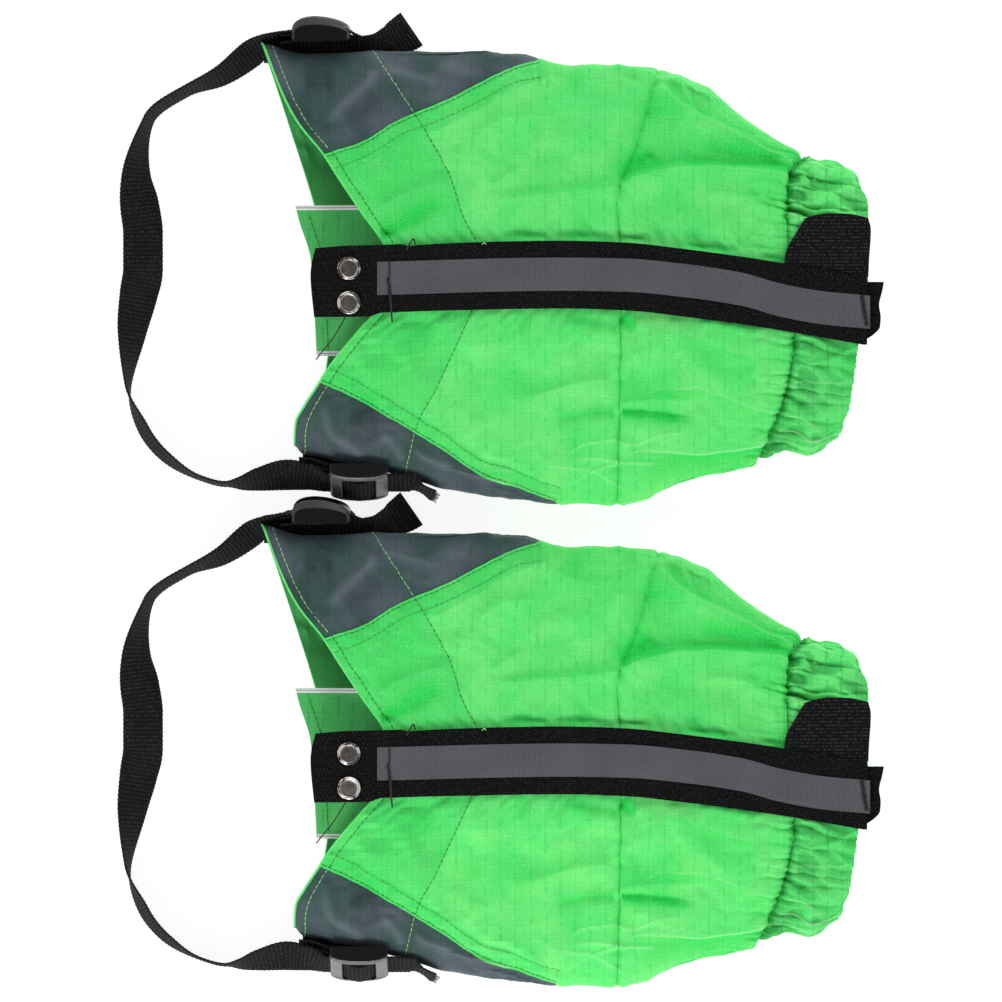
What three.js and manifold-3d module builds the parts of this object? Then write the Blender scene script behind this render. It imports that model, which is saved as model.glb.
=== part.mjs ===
// A pair of short hiking gaiters, lying on their backs with the closure facing up.
//
// Each gaiter is a sewn nylon sleeve: pull-on hem at -X, gathered cuff at +X, outer side at +Y.
// A hook and loop closure runs along the front, and a webbing strap under the instep joins two
// ladder-lock buckles at the hem. Units are millimetres and degrees, and +Z is up.
import * as THREE from "three";
import { mergeVertices } from "three/addons/utils/BufferGeometryUtils.js";
import Module from "manifold-3d";

// ---- Driving dimensions ----
const GAITER_SPACING = 241; // between the two gaiters, centre to centre

const FABRIC = 0.8; // thickness given to one layer of ripstop
const SEAM_GAP = 0.5; // from a panel's edge to the middle of its seam
const FACING_INSET = 3; // from the outer surface in to the hem facing
const FACING_DEPTH_BACK = 45; // how far the facing reaches up the heel
const FACING_DEPTH_RISE = 12; // how much further it reaches at the side folds
const UNDERSIDE_FULLNESS = 1.15; // how soon the underside meets the ground
const UNDERSIDE_POWER = 0.8;

const TUNNEL_DEPTH = 4.2; // from the cuff's outer layer to its turned-in layer
const TUNNEL_HEM = 3; // how far the turned-in layer stops short of the cuff seam
const ELASTIC_INSET = 1.5;
const ELASTIC_THICKNESS = 1.2;
const ELASTIC_MARGIN = 4; // from the elastic's edges to the cuff's edges

const TAPE_WIDTH = 34;
const TAPE_THICKNESS = 1.4;
const TAPE_LIFT = 2.2; // from the shell's crest to the underside of the closure tape
const TAPE_START = -93;
const FREE_END = -60; // the closure tape leaves the shell here
const TAPE_END = 182;
const HOOK_TAPE_WIDTH = 29;
const HOOK_TAPE_THICKNESS = 0.8;
const HOOK_TAPE_LIFT = 0.4;
const HOOK_TAPE_START = -50;
const HOOK_TAPE_END = 190.5;
const REFLECTIVE_WIDTH = 16.5;
const REFLECTIVE_THICKNESS = 0.5;
const REFLECTIVE_START = -61.5;
const REFLECTIVE_END = 180;
const RUNNING_GAP = 0.35; // between pieces that lie on each other

const RIVET_X = -75.5;
const RIVET_Y = [-5, -22];
const RIVET_CAP_RADIUS = 5.8;
const RIVET_CAP_HEIGHT = 1.6;
const RIVET_SHANK_RADIUS = 2.3;
const RIVET_HOLE_RADIUS = 2.7;
const RIVET_FLANGE_RADIUS = 4.2;
const RIVET_FLANGE_HEIGHT = 0.7;
const HOOK_PLATE = { start: -87, end: -64, low: -27.5, high: 0.5, thickness: 1 };
const HOOK_TONGUE = { width: 12, bend: 2.6, reach: 11 };

const UNDERLAP = { low: -46, high: 25, end: -22, inset: 6, sag: 6 };
const BINDING_WIDTH = 2.4;

const TAB_LIFT = 1;
const TAB_THICKNESS = 1.2;
const TAB_GAP = 1.5; // from the closure tape's upper edge to the tab
const TAB_TOP = 20.3;

const WEBBING_WIDTH = 20;
const WEBBING_THICKNESS = 1.2;
const STRAP_SEGMENTS = 80;
const ANCHOR_THICKNESS = 0.8;
const BUCKLE = {
  halfLength: 14.5,
  shoulder: 4,
  crown: 10.5,
  cheek: 3,
  slot: 21.2,
  endBar: { along: 11, height: 6.7, radius: 1.4 },
  centreBar: { height: 1.2, radius: 1 },
  strapHeight: 4.3,
};
const OUTER_BUCKLE = { x: -93, y: 109.4, z: 16, lean: 5, side: 1 };
const INNER_BUCKLE = { x: -71, y: -107.4, z: 16, lean: 25, side: -1 };

// ---- Numbers from curves ----
const toRadians = THREE.MathUtils.degToRad;
const { lerp, clamp } = THREE.MathUtils;

// A smooth function through [position, value] pairs that never overshoots them, level beyond both ends.
function through(points) {
  const last = points.length - 1;
  const grade = (i) => (points[i + 1][1] - points[i][1]) / (points[i + 1][0] - points[i][0]);
  const slopes = points.map((point, i) => {
    if (i === 0) return grade(0);
    if (i === last) return grade(last - 1);
    const [before, after] = [grade(i - 1), grade(i)];
    return before * after > 0 ? (2 * before * after) / (before + after) : 0;
  });
  return (position) => {
    const at = clamp(position, points[0][0], points[last][0]);
    let i = 0;
    while (i < last - 1 && at > points[i + 1][0]) i += 1;
    const span = points[i + 1][0] - points[i][0];
    const t = (at - points[i][0]) / span;
    const rise = points[i + 1][1] - points[i][1];
    const first = slopes[i] * span - rise;
    const second = rise - slopes[i + 1] * span;
    return points[i][1] + t * rise + t * (1 - t) * (first * (1 - t) + second * t);
  };
}

// ---- The sleeve's form: outlines seen from above, heights seen from the side ----
const outerEdge = through([
  [-120, 110], [-93, 104.5], [-50, 104.5], [5, 103], [35, 98], [70, 97], [100, 87],
  [120, 72], [145, 55], [155, 48.5], [170, 46], [184, 40],
]);
const innerEdge = through([
  [-105, -90], [-98, -97], [-83, -100], [-60, -106], [-31, -113.7], [0, -119.5], [30, -121.5],
  [60, -121], [90, -111], [120, -104], [142, -96], [153, -97], [168, -89], [178, -78],
]);
const closureLine = through([
  [-120, -12], [-60, -11], [-25, -9], [30, -8], [62, -9], [90, -12], [120, -16], [140, -19],
  [180, -26],
]);
const crestHeight = through([
  [-120, 35], [-60, 41], [0, 44], [60, 44], [120, 41.5], [150, 38], [184, 37],
]);
const flankHeight = through([[-120, 16], [0, 19], [90, 19], [150, 17], [184, 16]]);

// Seams and edges that cross the sleeve: position along X against the cosine of the angle round it,
// which is 1 at the outer fold, 0 at the closure and -1 at the inner fold.
const frontHem = through([
  [-1, -103], [-0.87, -102.5], [-0.54, -89], [-0.28, -72], [-0.137, -60.5], [0, -52],
  [0.164, -59], [0.29, -69], [0.44, -80.5], [0.56, -89.5], [0.69, -102], [0.81, -110], [1, -119.5],
]);
const backHem = through([[-1, -103], [-0.5, -88], [0, -84], [0.35, -94], [0.77, -110], [1, -119.5]]);
const frontFacing = through([
  [-1, -48], [-0.69, -41], [-0.49, -30], [-0.16, -14.6], [0, -8], [0.145, -12], [0.235, -17],
  [0.5, -28.5], [0.73, -43.7], [1, -62],
]);
const middleSeam = through([[-1, 58], [0, 60], [0.35, 58], [0.6, 67], [1, 79]]);
const cuffSeam = through([[-1, 130], [-0.66, 141], [-0.27, 146], [0.43, 142.5], [0.8, 143.5], [1, 151]]);
const cuffEnd = through([[-1, 168], [-0.8, 174], [-0.3, 178], [0.4, 183], [0.8, 183], [1, 176]]);

// Side panels: half their angle round the fold against position along X, narrowing to a point.
const POINT_ANGLE = 0.4;
const OUTER_POINT = 24;
const INNER_POINT = 33;
const outerSideAngle = through([
  [-89, 57], [-69.5, 53], [-51, 46], [-28.5, 39], [2, 23], [16.5, 11.5], [OUTER_POINT, POINT_ANGLE],
]);
const innerSideAngle = through([
  [-90, 55], [-70, 49.5], [-44, 41], [-26, 34], [-9, 25], [9, 19], [24, 9], [INNER_POINT, POINT_ANGLE],
]);
const SIDE_POINT_TRIM = 3; // a side panel stops this far short of its point

// A point of the sleeve: station x, angle round it from the outer fold, distance in from its surface.
function shellPoint(x, angle, inset) {
  const across = Math.cos(angle);
  const up = Math.sin(angle);
  const middle = closureLine(x);
  const half = across > 0 ? outerEdge(x) - middle : middle - innerEdge(x);
  const flank = flankHeight(x);
  const sag = flank * (1 - UNDERSIDE_FULLNESS * Math.abs(up) ** UNDERSIDE_POWER);
  const height = up >= 0 ? lerp(flank, crestHeight(x), up) : Math.max(0, sag);
  return new THREE.Vector3(x, middle + (half - inset) * across, height - inset * up);
}

// The angle round the sleeve of the upper surface's point at station x and width y.
function angleAcross(x, y) {
  const middle = closureLine(x);
  const half = y > middle ? outerEdge(x) - middle : middle - innerEdge(x);
  return Math.acos(clamp((y - middle) / half, -1, 1));
}

// The angle that a distance along the surface stands for at a place round the sleeve.
function angleOf(distance, x, angle) {
  const step = 0.01;
  const ahead = shellPoint(x, angle + step, 0);
  const behind = shellPoint(x, angle - step, 0);
  return (distance * 2 * step) / ahead.distanceTo(behind);
}

// ---- Solids ----

// A closed solid between two grids of points; pointAt takes two fractions and the side, 0 or 1.
function sheet(columns, rows, pointAt) {
  const positions = [];
  for (const side of [0, 1])
    for (let i = 0; i <= columns; i += 1)
      for (let j = 0; j <= rows; j += 1)
        positions.push(...pointAt(i / columns, j / rows, side).toArray());
  const at = (side, i, j) => (side * (columns + 1) + i) * (rows + 1) + j;
  const indices = [];
  const quad = (a, b, c, d) => indices.push(a, b, c, a, c, d);
  for (let i = 0; i < columns; i += 1)
    for (let j = 0; j < rows; j += 1) {
      quad(at(0, i, j), at(0, i + 1, j), at(0, i + 1, j + 1), at(0, i, j + 1));
      quad(at(1, i, j), at(1, i, j + 1), at(1, i + 1, j + 1), at(1, i + 1, j));
    }
  for (let i = 0; i < columns; i += 1) {
    quad(at(0, i + 1, 0), at(0, i, 0), at(1, i, 0), at(1, i + 1, 0));
    quad(at(0, i, rows), at(0, i + 1, rows), at(1, i + 1, rows), at(1, i, rows));
  }
  for (let j = 0; j < rows; j += 1) {
    quad(at(0, 0, j), at(0, 0, j + 1), at(1, 0, j + 1), at(1, 0, j));
    quad(at(0, columns, j + 1), at(0, columns, j), at(1, columns, j), at(1, columns, j + 1));
  }
  const geometry = new THREE.BufferGeometry();
  geometry.setAttribute("position", new THREE.Float32BufferAttribute(positions, 3));
  geometry.setIndex(indices);
  return facingOut(geometry);
}

// The same closed surface with its triangles turned so that its volume is positive.
function facingOut(geometry) {
  const corner = geometry.getAttribute("position");
  const index = geometry.getIndex();
  const point = (i) => new THREE.Vector3().fromBufferAttribute(corner, index.getX(i));
  let volume = 0;
  for (let i = 0; i < index.count; i += 3)
    volume += point(i).dot(point(i + 1).cross(point(i + 2)));
  if (volume < 0)
    for (let i = 0; i < index.count; i += 3) {
      const second = index.getX(i + 1);
      index.setX(i + 1, index.getX(i + 2));
      index.setX(i + 2, second);
    }
  geometry.computeVertexNormals();
  return geometry;
}

// A panel of the sleeve between two angles (functions of x) and two stations (functions of the angle).
function panel({ columns, rows, from, to, start, end, inset = 0, gap = SEAM_GAP }) {
  const place = (u, v) => {
    let x = 0;
    let angle = (from(0) + to(0)) / 2;
    for (let pass = 0; pass < 60; pass += 1) {
      const low = from(x) + angleOf(gap, x, from(x));
      const high = to(x) - angleOf(gap, x, to(x));
      angle = lerp(angle, lerp(low, high, v), 0.5);
      x = lerp(x, lerp(start(angle) + gap, end(angle) - gap, u), 0.5);
    }
    return [x, angle];
  };
  return sheet(columns, rows, (u, v, side) => {
    const [x, angle] = place(u, v);
    return shellPoint(x, angle, inset + side * FABRIC);
  });
}

const wasm = await Module();
wasm.setup();

function toSolid(geometry) {
  const bare = geometry.clone();
  bare.deleteAttribute("normal");
  bare.deleteAttribute("uv");
  const merged = mergeVertices(bare, 1e-4);
  const vertProperties = new Float32Array(merged.getAttribute("position").array);
  const triVerts = new Uint32Array(merged.getIndex().array);
  return new wasm.Manifold(new wasm.Mesh({ numProp: 3, vertProperties, triVerts }));
}

function toGeometry(solid) {
  const mesh = solid.getMesh();
  const geometry = new THREE.BufferGeometry();
  geometry.setAttribute("position", new THREE.BufferAttribute(mesh.vertProperties, 3));
  geometry.setIndex(new THREE.BufferAttribute(mesh.triVerts, 1));
  geometry.computeVertexNormals();
  return geometry;
}

const join = (pieces) => toGeometry(pieces.map(toSolid).reduce((whole, next) => whole.add(next)));

function cut(body, tools) {
  return toGeometry(tools.map(toSolid).reduce((whole, next) => whole.subtract(next), toSolid(body)));
}

// ---- The sleeve's panels ----
const TURN = 2 * Math.PI;
const constant = (value) => () => value;
const hem = (angle) => (Math.sin(angle) >= 0 ? frontHem : backHem)(Math.cos(angle));
const acrossSeam = (curve) => (angle) => curve(Math.cos(angle));
const outerSeam = (x) => toRadians(outerSideAngle(x));
const innerSeam = (x) => toRadians(innerSideAngle(x));
const CLOSURE_ANGLE = Math.PI / 2;

function facingEnd(angle) {
  const across = Math.cos(angle);
  if (Math.sin(angle) >= 0) return frontFacing(across);
  return backHem(across) + FACING_DEPTH_BACK + FACING_DEPTH_RISE * across ** 4;
}

const frontPanels = {
  outer_front_panel: () =>
    panel({
      columns: 9, rows: 6, from: outerSeam, to: constant(CLOSURE_ANGLE),
      start: hem, end: acrossSeam(middleSeam),
    }),
  inner_front_panel: () =>
    panel({
      columns: 9, rows: 6, from: constant(CLOSURE_ANGLE), to: (x) => Math.PI - innerSeam(x),
      start: hem, end: acrossSeam(middleSeam),
    }),
};

const sidePanels = {
  outer_side_panel: () =>
    panel({
      columns: 8, rows: 8, from: (x) => -outerSeam(x), to: outerSeam,
      start: hem, end: constant(OUTER_POINT - SIDE_POINT_TRIM),
    }),
  inner_side_panel: () =>
    panel({
      columns: 8, rows: 8, from: (x) => Math.PI - innerSeam(x), to: (x) => Math.PI + innerSeam(x),
      start: hem, end: constant(INNER_POINT - SIDE_POINT_TRIM),
    }),
};

const heelPanel = () =>
  panel({
    columns: 9, rows: 12, from: (x) => Math.PI + innerSeam(x), to: (x) => TURN - outerSeam(x),
    start: hem, end: acrossSeam(middleSeam),
  });

const legPanels = {
  outer_leg_panel: () =>
    panel({
      columns: 6, rows: 12, from: constant(-CLOSURE_ANGLE), to: constant(CLOSURE_ANGLE),
      start: acrossSeam(middleSeam), end: acrossSeam(cuffSeam),
    }),
  inner_leg_panel: () =>
    panel({
      columns: 6, rows: 12, from: constant(CLOSURE_ANGLE), to: constant(3 * CLOSURE_ANGLE),
      start: acrossSeam(middleSeam), end: acrossSeam(cuffSeam),
    }),
};

const hemFacing = () =>
  panel({
    columns: 2, rows: 24, from: constant(CLOSURE_ANGLE), to: constant(TURN + CLOSURE_ANGLE),
    start: hem, end: facingEnd, inset: FACING_INSET, gap: 1.5,
  });

// The cuff is one strip of fabric, turned in over the elastic and open at its sewn edge.
const CUFF_SEGMENTS = 22;
const CUFF_COLUMNS = 3;
const CUFF_SPLIT = 0.01; // radians from the closure line to each end of the strip
const cuffAngle = (v) => CLOSURE_ANGLE + lerp(CUFF_SPLIT, TURN - CUFF_SPLIT, v);

function cuffTunnel() {
  return sheet(2 * CUFF_COLUMNS + 1, CUFF_SEGMENTS, (u, v, side) => {
    const angle = cuffAngle(v);
    const across = Math.cos(angle);
    const column = Math.round((2 * CUFF_COLUMNS + 1) * u);
    const turnedIn = column > CUFF_COLUMNS;
    const along = turnedIn ? (2 * CUFF_COLUMNS + 1 - column) / CUFF_COLUMNS : column / CUFF_COLUMNS;
    const start = cuffSeam(across) + (turnedIn ? TUNNEL_HEM : SEAM_GAP);
    const x = lerp(start, cuffEnd(across) - side * FABRIC, along);
    const inset = turnedIn ? TUNNEL_DEPTH - side * FABRIC : side * FABRIC;
    return shellPoint(x, angle, inset);
  });
}

function cuffElastic() {
  return sheet(CUFF_COLUMNS, CUFF_SEGMENTS, (u, v, side) => {
    const angle = cuffAngle(v);
    const across = Math.cos(angle);
    const x = lerp(cuffSeam(across) + ELASTIC_MARGIN, cuffEnd(across) - ELASTIC_MARGIN, u);
    return shellPoint(x, angle, ELASTIC_INSET + side * ELASTIC_THICKNESS);
  });
}

// ---- The underlap: a tongue behind the front opening, with bound edges ----
const underlapStart = through([[UNDERLAP.low - 3, -92], [-20, -93.5], [0, -95], [20, -101], [28, -103]]);
const underlapSag = through([[-105, UNDERLAP.sag], [-90, UNDERLAP.sag], [-50, 0], [-20, 0]]);

function underlapStrip(low, high, rows) {
  return sheet(8, rows, (u, v, side) => {
    const y = lerp(low, high, v);
    const x = lerp(underlapStart(y), UNDERLAP.end, u);
    const on = shellPoint(x, angleAcross(x, y), 0);
    return new THREE.Vector3(x, y, on.z - UNDERLAP.inset - underlapSag(x) - side * FABRIC);
  });
}

const underlapPieces = {
  front_underlap: () => underlapStrip(UNDERLAP.low, UNDERLAP.high, 4),
  underlap_outer_binding: () =>
    underlapStrip(UNDERLAP.high + RUNNING_GAP, UNDERLAP.high + BINDING_WIDTH, 1),
  underlap_inner_binding: () =>
    underlapStrip(UNDERLAP.low - BINDING_WIDTH, UNDERLAP.low - RUNNING_GAP, 1),
};

// ---- The closure: level across its width, and level along its free end for the rivets ----
const tapeLevel = (x) => crestHeight(Math.max(x, FREE_END)) + TAPE_LIFT;
const freeEndLevel = tapeLevel(FREE_END);
const reflectiveLine = through([
  [-60, -10], [30, -8], [62, -8.5], [90, -11], [120, -15.5], [138, -20.5], [160, -24.5], [184, -26.7],
]);

function strip({ start, end, width, bottom, thickness, columns, rows = 1, middle = closureLine }) {
  return sheet(columns, rows, (u, v, side) => {
    const x = lerp(start, end, u);
    return new THREE.Vector3(x, middle(x) + (v - 0.5) * width, bottom(x) + side * thickness);
  });
}

function rivetBore(y) {
  const bore = new THREE.CylinderGeometry(RIVET_HOLE_RADIUS, RIVET_HOLE_RADIUS, 20, 16);
  bore.rotateX(Math.PI / 2);
  bore.translate(RIVET_X, y, freeEndLevel);
  return bore;
}

function closureTape() {
  const flat = {
    start: TAPE_START, end: TAPE_END, width: TAPE_WIDTH, bottom: tapeLevel,
    thickness: TAPE_THICKNESS, columns: 22,
  };
  return cut(strip(flat), RIVET_Y.map(rivetBore));
}

const hookTape = () =>
  strip({
    start: HOOK_TAPE_START, end: HOOK_TAPE_END, width: HOOK_TAPE_WIDTH,
    bottom: (x) => crestHeight(x) + HOOK_TAPE_LIFT, thickness: HOOK_TAPE_THICKNESS, columns: 20,
  });

const reflectiveTape = () =>
  strip({
    start: REFLECTIVE_START, end: REFLECTIVE_END, width: REFLECTIVE_WIDTH,
    bottom: (x) => tapeLevel(x) + TAPE_THICKNESS + RUNNING_GAP, thickness: REFLECTIVE_THICKNESS,
    columns: 22, middle: reflectiveLine,
  });

// A rivet turned about its own axis, with z = 0 at the closure tape's top face.
function rivet() {
  const foot = -(TAPE_THICKNESS + HOOK_PLATE.thickness + 2 * RUNNING_GAP);
  const cap = RUNNING_GAP + RIVET_CAP_HEIGHT;
  const profile = [
    [0, foot - RIVET_FLANGE_HEIGHT],
    [RIVET_FLANGE_RADIUS, foot - RIVET_FLANGE_HEIGHT],
    [RIVET_FLANGE_RADIUS, foot],
    [RIVET_SHANK_RADIUS, foot],
    [RIVET_SHANK_RADIUS, RUNNING_GAP],
    [RIVET_CAP_RADIUS, RUNNING_GAP],
    [RIVET_CAP_RADIUS, cap - 0.8],
    [RIVET_CAP_RADIUS - 0.8, cap],
    [RIVET_CAP_RADIUS - 1.8, cap],
    [RIVET_CAP_RADIUS - 2.6, cap - 0.6],
    [0, cap - 0.8],
  ];
  const turned = new THREE.LatheGeometry(profile.map(([r, z]) => new THREE.Vector2(r, z)), 14);
  turned.rotateX(Math.PI / 2);
  return turned;
}

// A pressed plate under the tape; its tongue curls down and back to catch a boot lace.
function laceHook() {
  const { start, end, low, high, thickness } = HOOK_PLATE;
  const { width, bend, reach } = HOOK_TONGUE;
  const top = freeEndLevel - RUNNING_GAP;
  const plate = new THREE.BoxGeometry(end - start, high - low, thickness);
  plate.translate((start + end) / 2, (low + high) / 2, top - thickness / 2);
  const section = new THREE.Shape();
  section.moveTo(start + 1, 0);
  section.absarc(start, -bend - thickness, bend + thickness, Math.PI / 2, 1.5 * Math.PI, false);
  section.lineTo(start + reach, -2 * (bend + thickness));
  section.lineTo(start + reach, -2 * bend - thickness);
  section.lineTo(start, -2 * bend - thickness);
  section.absarc(start, -bend - thickness, bend, 1.5 * Math.PI, Math.PI / 2, true);
  section.lineTo(start + 1, -thickness);
  const tongue = new THREE.ExtrudeGeometry(section, {
    depth: width, bevelEnabled: false, curveSegments: 6,
  });
  tongue.rotateX(Math.PI / 2);
  tongue.translate(0, (low + high + width) / 2, top);
  return cut(join([plate, tongue]), RIVET_Y.map(rivetBore));
}

// ---- The cuff's pull tab, beside the closure tape's upper edge ----
const tabLeft = through([[-3, 141], [3.5, 141], [12.5, 146.5], [19, 150]]);
const tabRight = through([[-10, 188], [0, 185.5], [14, 183.5], [20, 182]]);

function cuffTab() {
  return sheet(6, 4, (u, v, side) => {
    const roughX = lerp(tabLeft(0), tabRight(0), u);
    const base = closureLine(roughX) + TAPE_WIDTH / 2 + TAB_GAP;
    const y = lerp(base, TAB_TOP, v);
    const x = lerp(tabLeft(y), tabRight(y), u);
    return shellPoint(x, angleAcross(x, y), -TAB_LIFT - side * TAB_THICKNESS);
  });
}

// ---- Ladder-lock buckles: x along the strap, y across it, z away from the gaiter ----
function buckleBody() {
  const { halfLength, shoulder, crown, cheek, slot, endBar, centreBar } = BUCKLE;
  const outline = new THREE.Shape();
  outline.moveTo(-halfLength, 0);
  outline.lineTo(halfLength, 0);
  outline.lineTo(halfLength, shoulder);
  outline.absellipse(0, shoulder, halfLength, crown - shoulder, 0, Math.PI, false);
  const bars = [
    [-endBar.along, endBar.height, endBar.radius],
    [endBar.along, endBar.height, endBar.radius],
    [0, centreBar.height, centreBar.radius],
  ].map(([x, z, radius]) =>
    new THREE.CylinderGeometry(radius, radius, slot + cheek, 8).translate(x, 0, z));
  const cheeks = [slot / 2 + cheek, -slot / 2].map((y) =>
    new THREE.ExtrudeGeometry(outline, { depth: cheek, bevelEnabled: false, curveSegments: 8 })
      .rotateX(Math.PI / 2)
      .translate(0, y, 0));
  return join([...cheeks, ...bars]);
}

// Webbing folded round the centre bar; both plies run back towards the hem.
function anchorTab(reach, drop) {
  const { height, radius } = BUCKLE.centreBar;
  const inner = radius + RUNNING_GAP;
  const outer = inner + ANCHOR_THICKNESS;
  const section = new THREE.Shape();
  section.moveTo(-reach, height + outer - drop);
  section.lineTo(-BUCKLE.halfLength + 2, height + outer);
  section.lineTo(0, height + outer);
  section.absarc(0, height, outer, Math.PI / 2, -Math.PI / 2, true);
  section.lineTo(-BUCKLE.halfLength + 2, height - outer);
  section.lineTo(-reach, height - outer - drop);
  section.lineTo(-reach, height - inner - drop);
  section.lineTo(-BUCKLE.halfLength + 2, height - inner);
  section.lineTo(0, height - inner);
  section.absarc(0, height, inner, -Math.PI / 2, Math.PI / 2, false);
  section.lineTo(-BUCKLE.halfLength + 2, height + inner);
  section.lineTo(-reach, height + inner - drop);
  return new THREE.ExtrudeGeometry(section, {
    depth: WEBBING_WIDTH, bevelEnabled: false, curveSegments: 5,
  })
    .rotateX(Math.PI / 2)
    .translate(0, WEBBING_WIDTH / 2, 0);
}

// Puts a mesh in a buckle's own frame at the side of the hem.
function seatAtBuckle(mesh, { x, y, z, lean, side }) {
  const tilt = toRadians(lean);
  const away = new THREE.Vector3(0, side * Math.cos(tilt), Math.sin(tilt));
  const along = new THREE.Vector3(1, 0, 0);
  const across = new THREE.Vector3().crossVectors(away, along);
  mesh.position.set(x, y, z);
  mesh.quaternion.setFromRotationMatrix(new THREE.Matrix4().makeBasis(along, across, away));
  return mesh;
}

// ---- The instep strap, from its outer tail round to its inner tail ----
// Each station is [x, y, lift, roll]: lift is the lower edge's height above the ground. Roll 0 or 180
// lies flat and 90 stands on edge; above 90 the raised edge is on the outside of the loop.
function aboveGround(roll) {
  const turn = toRadians(roll);
  return (WEBBING_WIDTH * Math.sin(turn) + WEBBING_THICKNESS * Math.abs(Math.cos(turn))) / 2;
}

// The straight run through a buckle, between two offsets from its middle.
function buckleRun({ x, y, z, lean, side }, enter, leave) {
  const tilt = toRadians(lean);
  const roll = 90 - lean;
  const wide = y + side * BUCKLE.strapHeight * Math.cos(tilt);
  const lift = z + BUCKLE.strapHeight * Math.sin(tilt) - aboveGround(roll);
  return [enter, leave].map((offset) => [x + offset, wide, lift, roll]);
}

const STRAP_STATIONS = [
  [-44, 115.5, 0.2, 20],
  [-54, 115, 1, 60],
  ...buckleRun(OUTER_BUCKLE, 30, -15.5),
  [-117, 110, 2.5, 108],
  [-125, 104, 0.6, 128],
  [-140.5, 92.7, 0.1, 116],
  [-158, 85, 0, 102],
  [-176.5, 71, 0, 102],
  [-183, 42.5, 0, 133],
  [-181.5, 27.5, 0, 165],
  [-180, 14, 0, 180],
  [-180, -4, 0, 180],
  [-182, -17, 0, 158],
  [-185, -35, 0, 133],
  [-187, -62, 0, 95],
  [-179, -85, 0, 72],
  [-168, -98.5, 0, 74],
  [-150.5, -109, 0.1, 84],
  [-138, -111.5, 0.6, 86],
  [-121, -110.5, 2.5, 60],
  [-106, -110, 6, 47],
  ...buckleRun(INNER_BUCKLE, -15.5, 27),
  [-36.5, -116.5, 12, 82],
];

function instepStrap() {
  let travelled = 0;
  const along = STRAP_STATIONS.map(([x, y], i) => {
    const [lastX, lastY] = STRAP_STATIONS[Math.max(i - 1, 0)];
    travelled += Math.hypot(x - lastX, y - lastY);
    return travelled;
  });
  const track = (k) => through(STRAP_STATIONS.map((station, i) => [along[i], station[k]]));
  const [xAt, yAt, liftAt, rollAt] = [0, 1, 2, 3].map(track);
  const centre = (distance) => {
    const height = liftAt(distance) + aboveGround(rollAt(distance));
    return new THREE.Vector3(xAt(distance), yAt(distance), height);
  };
  return sheet(STRAP_SEGMENTS, 1, (u, v, side) => {
    const distance = u * travelled;
    const tangent = centre(distance + 0.5).sub(centre(distance - 0.5)).normalize();
    const level = new THREE.Vector3(-tangent.y, tangent.x, 0).normalize();
    const roll = toRadians(rollAt(distance));
    const across = level.multiplyScalar(Math.cos(roll));
    across.z = Math.sin(roll);
    const face = new THREE.Vector3().crossVectors(tangent, across).normalize();
    return centre(distance)
      .addScaledVector(across, (v - 0.5) * WEBBING_WIDTH)
      .addScaledVector(face, (side - 0.5) * WEBBING_THICKNESS);
  });
}

// ---- Finishes ----
const finish = (color, roughness, metalness = 0) => ({ color, roughness, metalness });
const GREEN = finish(0x69e46f, 0.6);
const GREEN_DOUBLE = finish(0x43ac55, 0.65);
const GRAY = finish(0x4e6363, 0.6);
const BINDING = finish(0xe8ece9, 0.5);
const BLACK_TAPE = finish(0x19191b, 0.95);
const BLACK_WEBBING = finish(0x29292a, 0.85);
const ELASTIC = finish(0xdedcd4, 0.9);
const REFLECTIVE = finish(0x58575c, 0.45);
const PLASTIC = finish(0x1c1c1f, 0.4);
const GUNMETAL = finish(0x55504c, 0.3, 0.9);

function piece(name, look, geometry) {
  const mesh = new THREE.Mesh(geometry, new THREE.MeshStandardMaterial(look));
  mesh.name = name;
  return mesh;
}

const all = (makers, look) =>
  Object.entries(makers).map(([name, make]) => piece(name, look, make()));

function gaiterPieces() {
  const seatedRivet = (name, y) => {
    const mesh = piece(name, GUNMETAL, rivet());
    mesh.position.set(RIVET_X, y, freeEndLevel + TAPE_THICKNESS);
    return mesh;
  };
  const { front_underlap, ...bindings } = underlapPieces;
  return [
    ...all(frontPanels, GREEN),
    ...all(sidePanels, GRAY),
    piece("heel_panel", GREEN, heelPanel()),
    ...all(legPanels, GREEN),
    piece("hem_facing", GREEN_DOUBLE, hemFacing()),
    piece("cuff_tunnel", GREEN, cuffTunnel()),
    piece("cuff_elastic", ELASTIC, cuffElastic()),
    piece("front_underlap", GREEN_DOUBLE, front_underlap()),
    ...all(bindings, BINDING),
    piece("hook_tape", BLACK_TAPE, hookTape()),
    piece("closure_tape", BLACK_TAPE, closureTape()),
    piece("reflective_tape", REFLECTIVE, reflectiveTape()),
    seatedRivet("outer_rivet", RIVET_Y[0]),
    seatedRivet("inner_rivet", RIVET_Y[1]),
    piece("lace_hook", GUNMETAL, laceHook()),
    piece("cuff_tab", BLACK_WEBBING, cuffTab()),
    seatAtBuckle(piece("outer_buckle", PLASTIC, buckleBody()), OUTER_BUCKLE),
    seatAtBuckle(piece("inner_buckle", PLASTIC, buckleBody()), INNER_BUCKLE),
    seatAtBuckle(piece("outer_anchor_tab", BLACK_WEBBING, anchorTab(14, 0)), OUTER_BUCKLE),
    seatAtBuckle(piece("inner_anchor_tab", BLACK_WEBBING, anchorTab(24, 4)), INNER_BUCKLE),
    piece("instep_strap", BLACK_WEBBING, instepStrap()),
  ];
}

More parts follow.
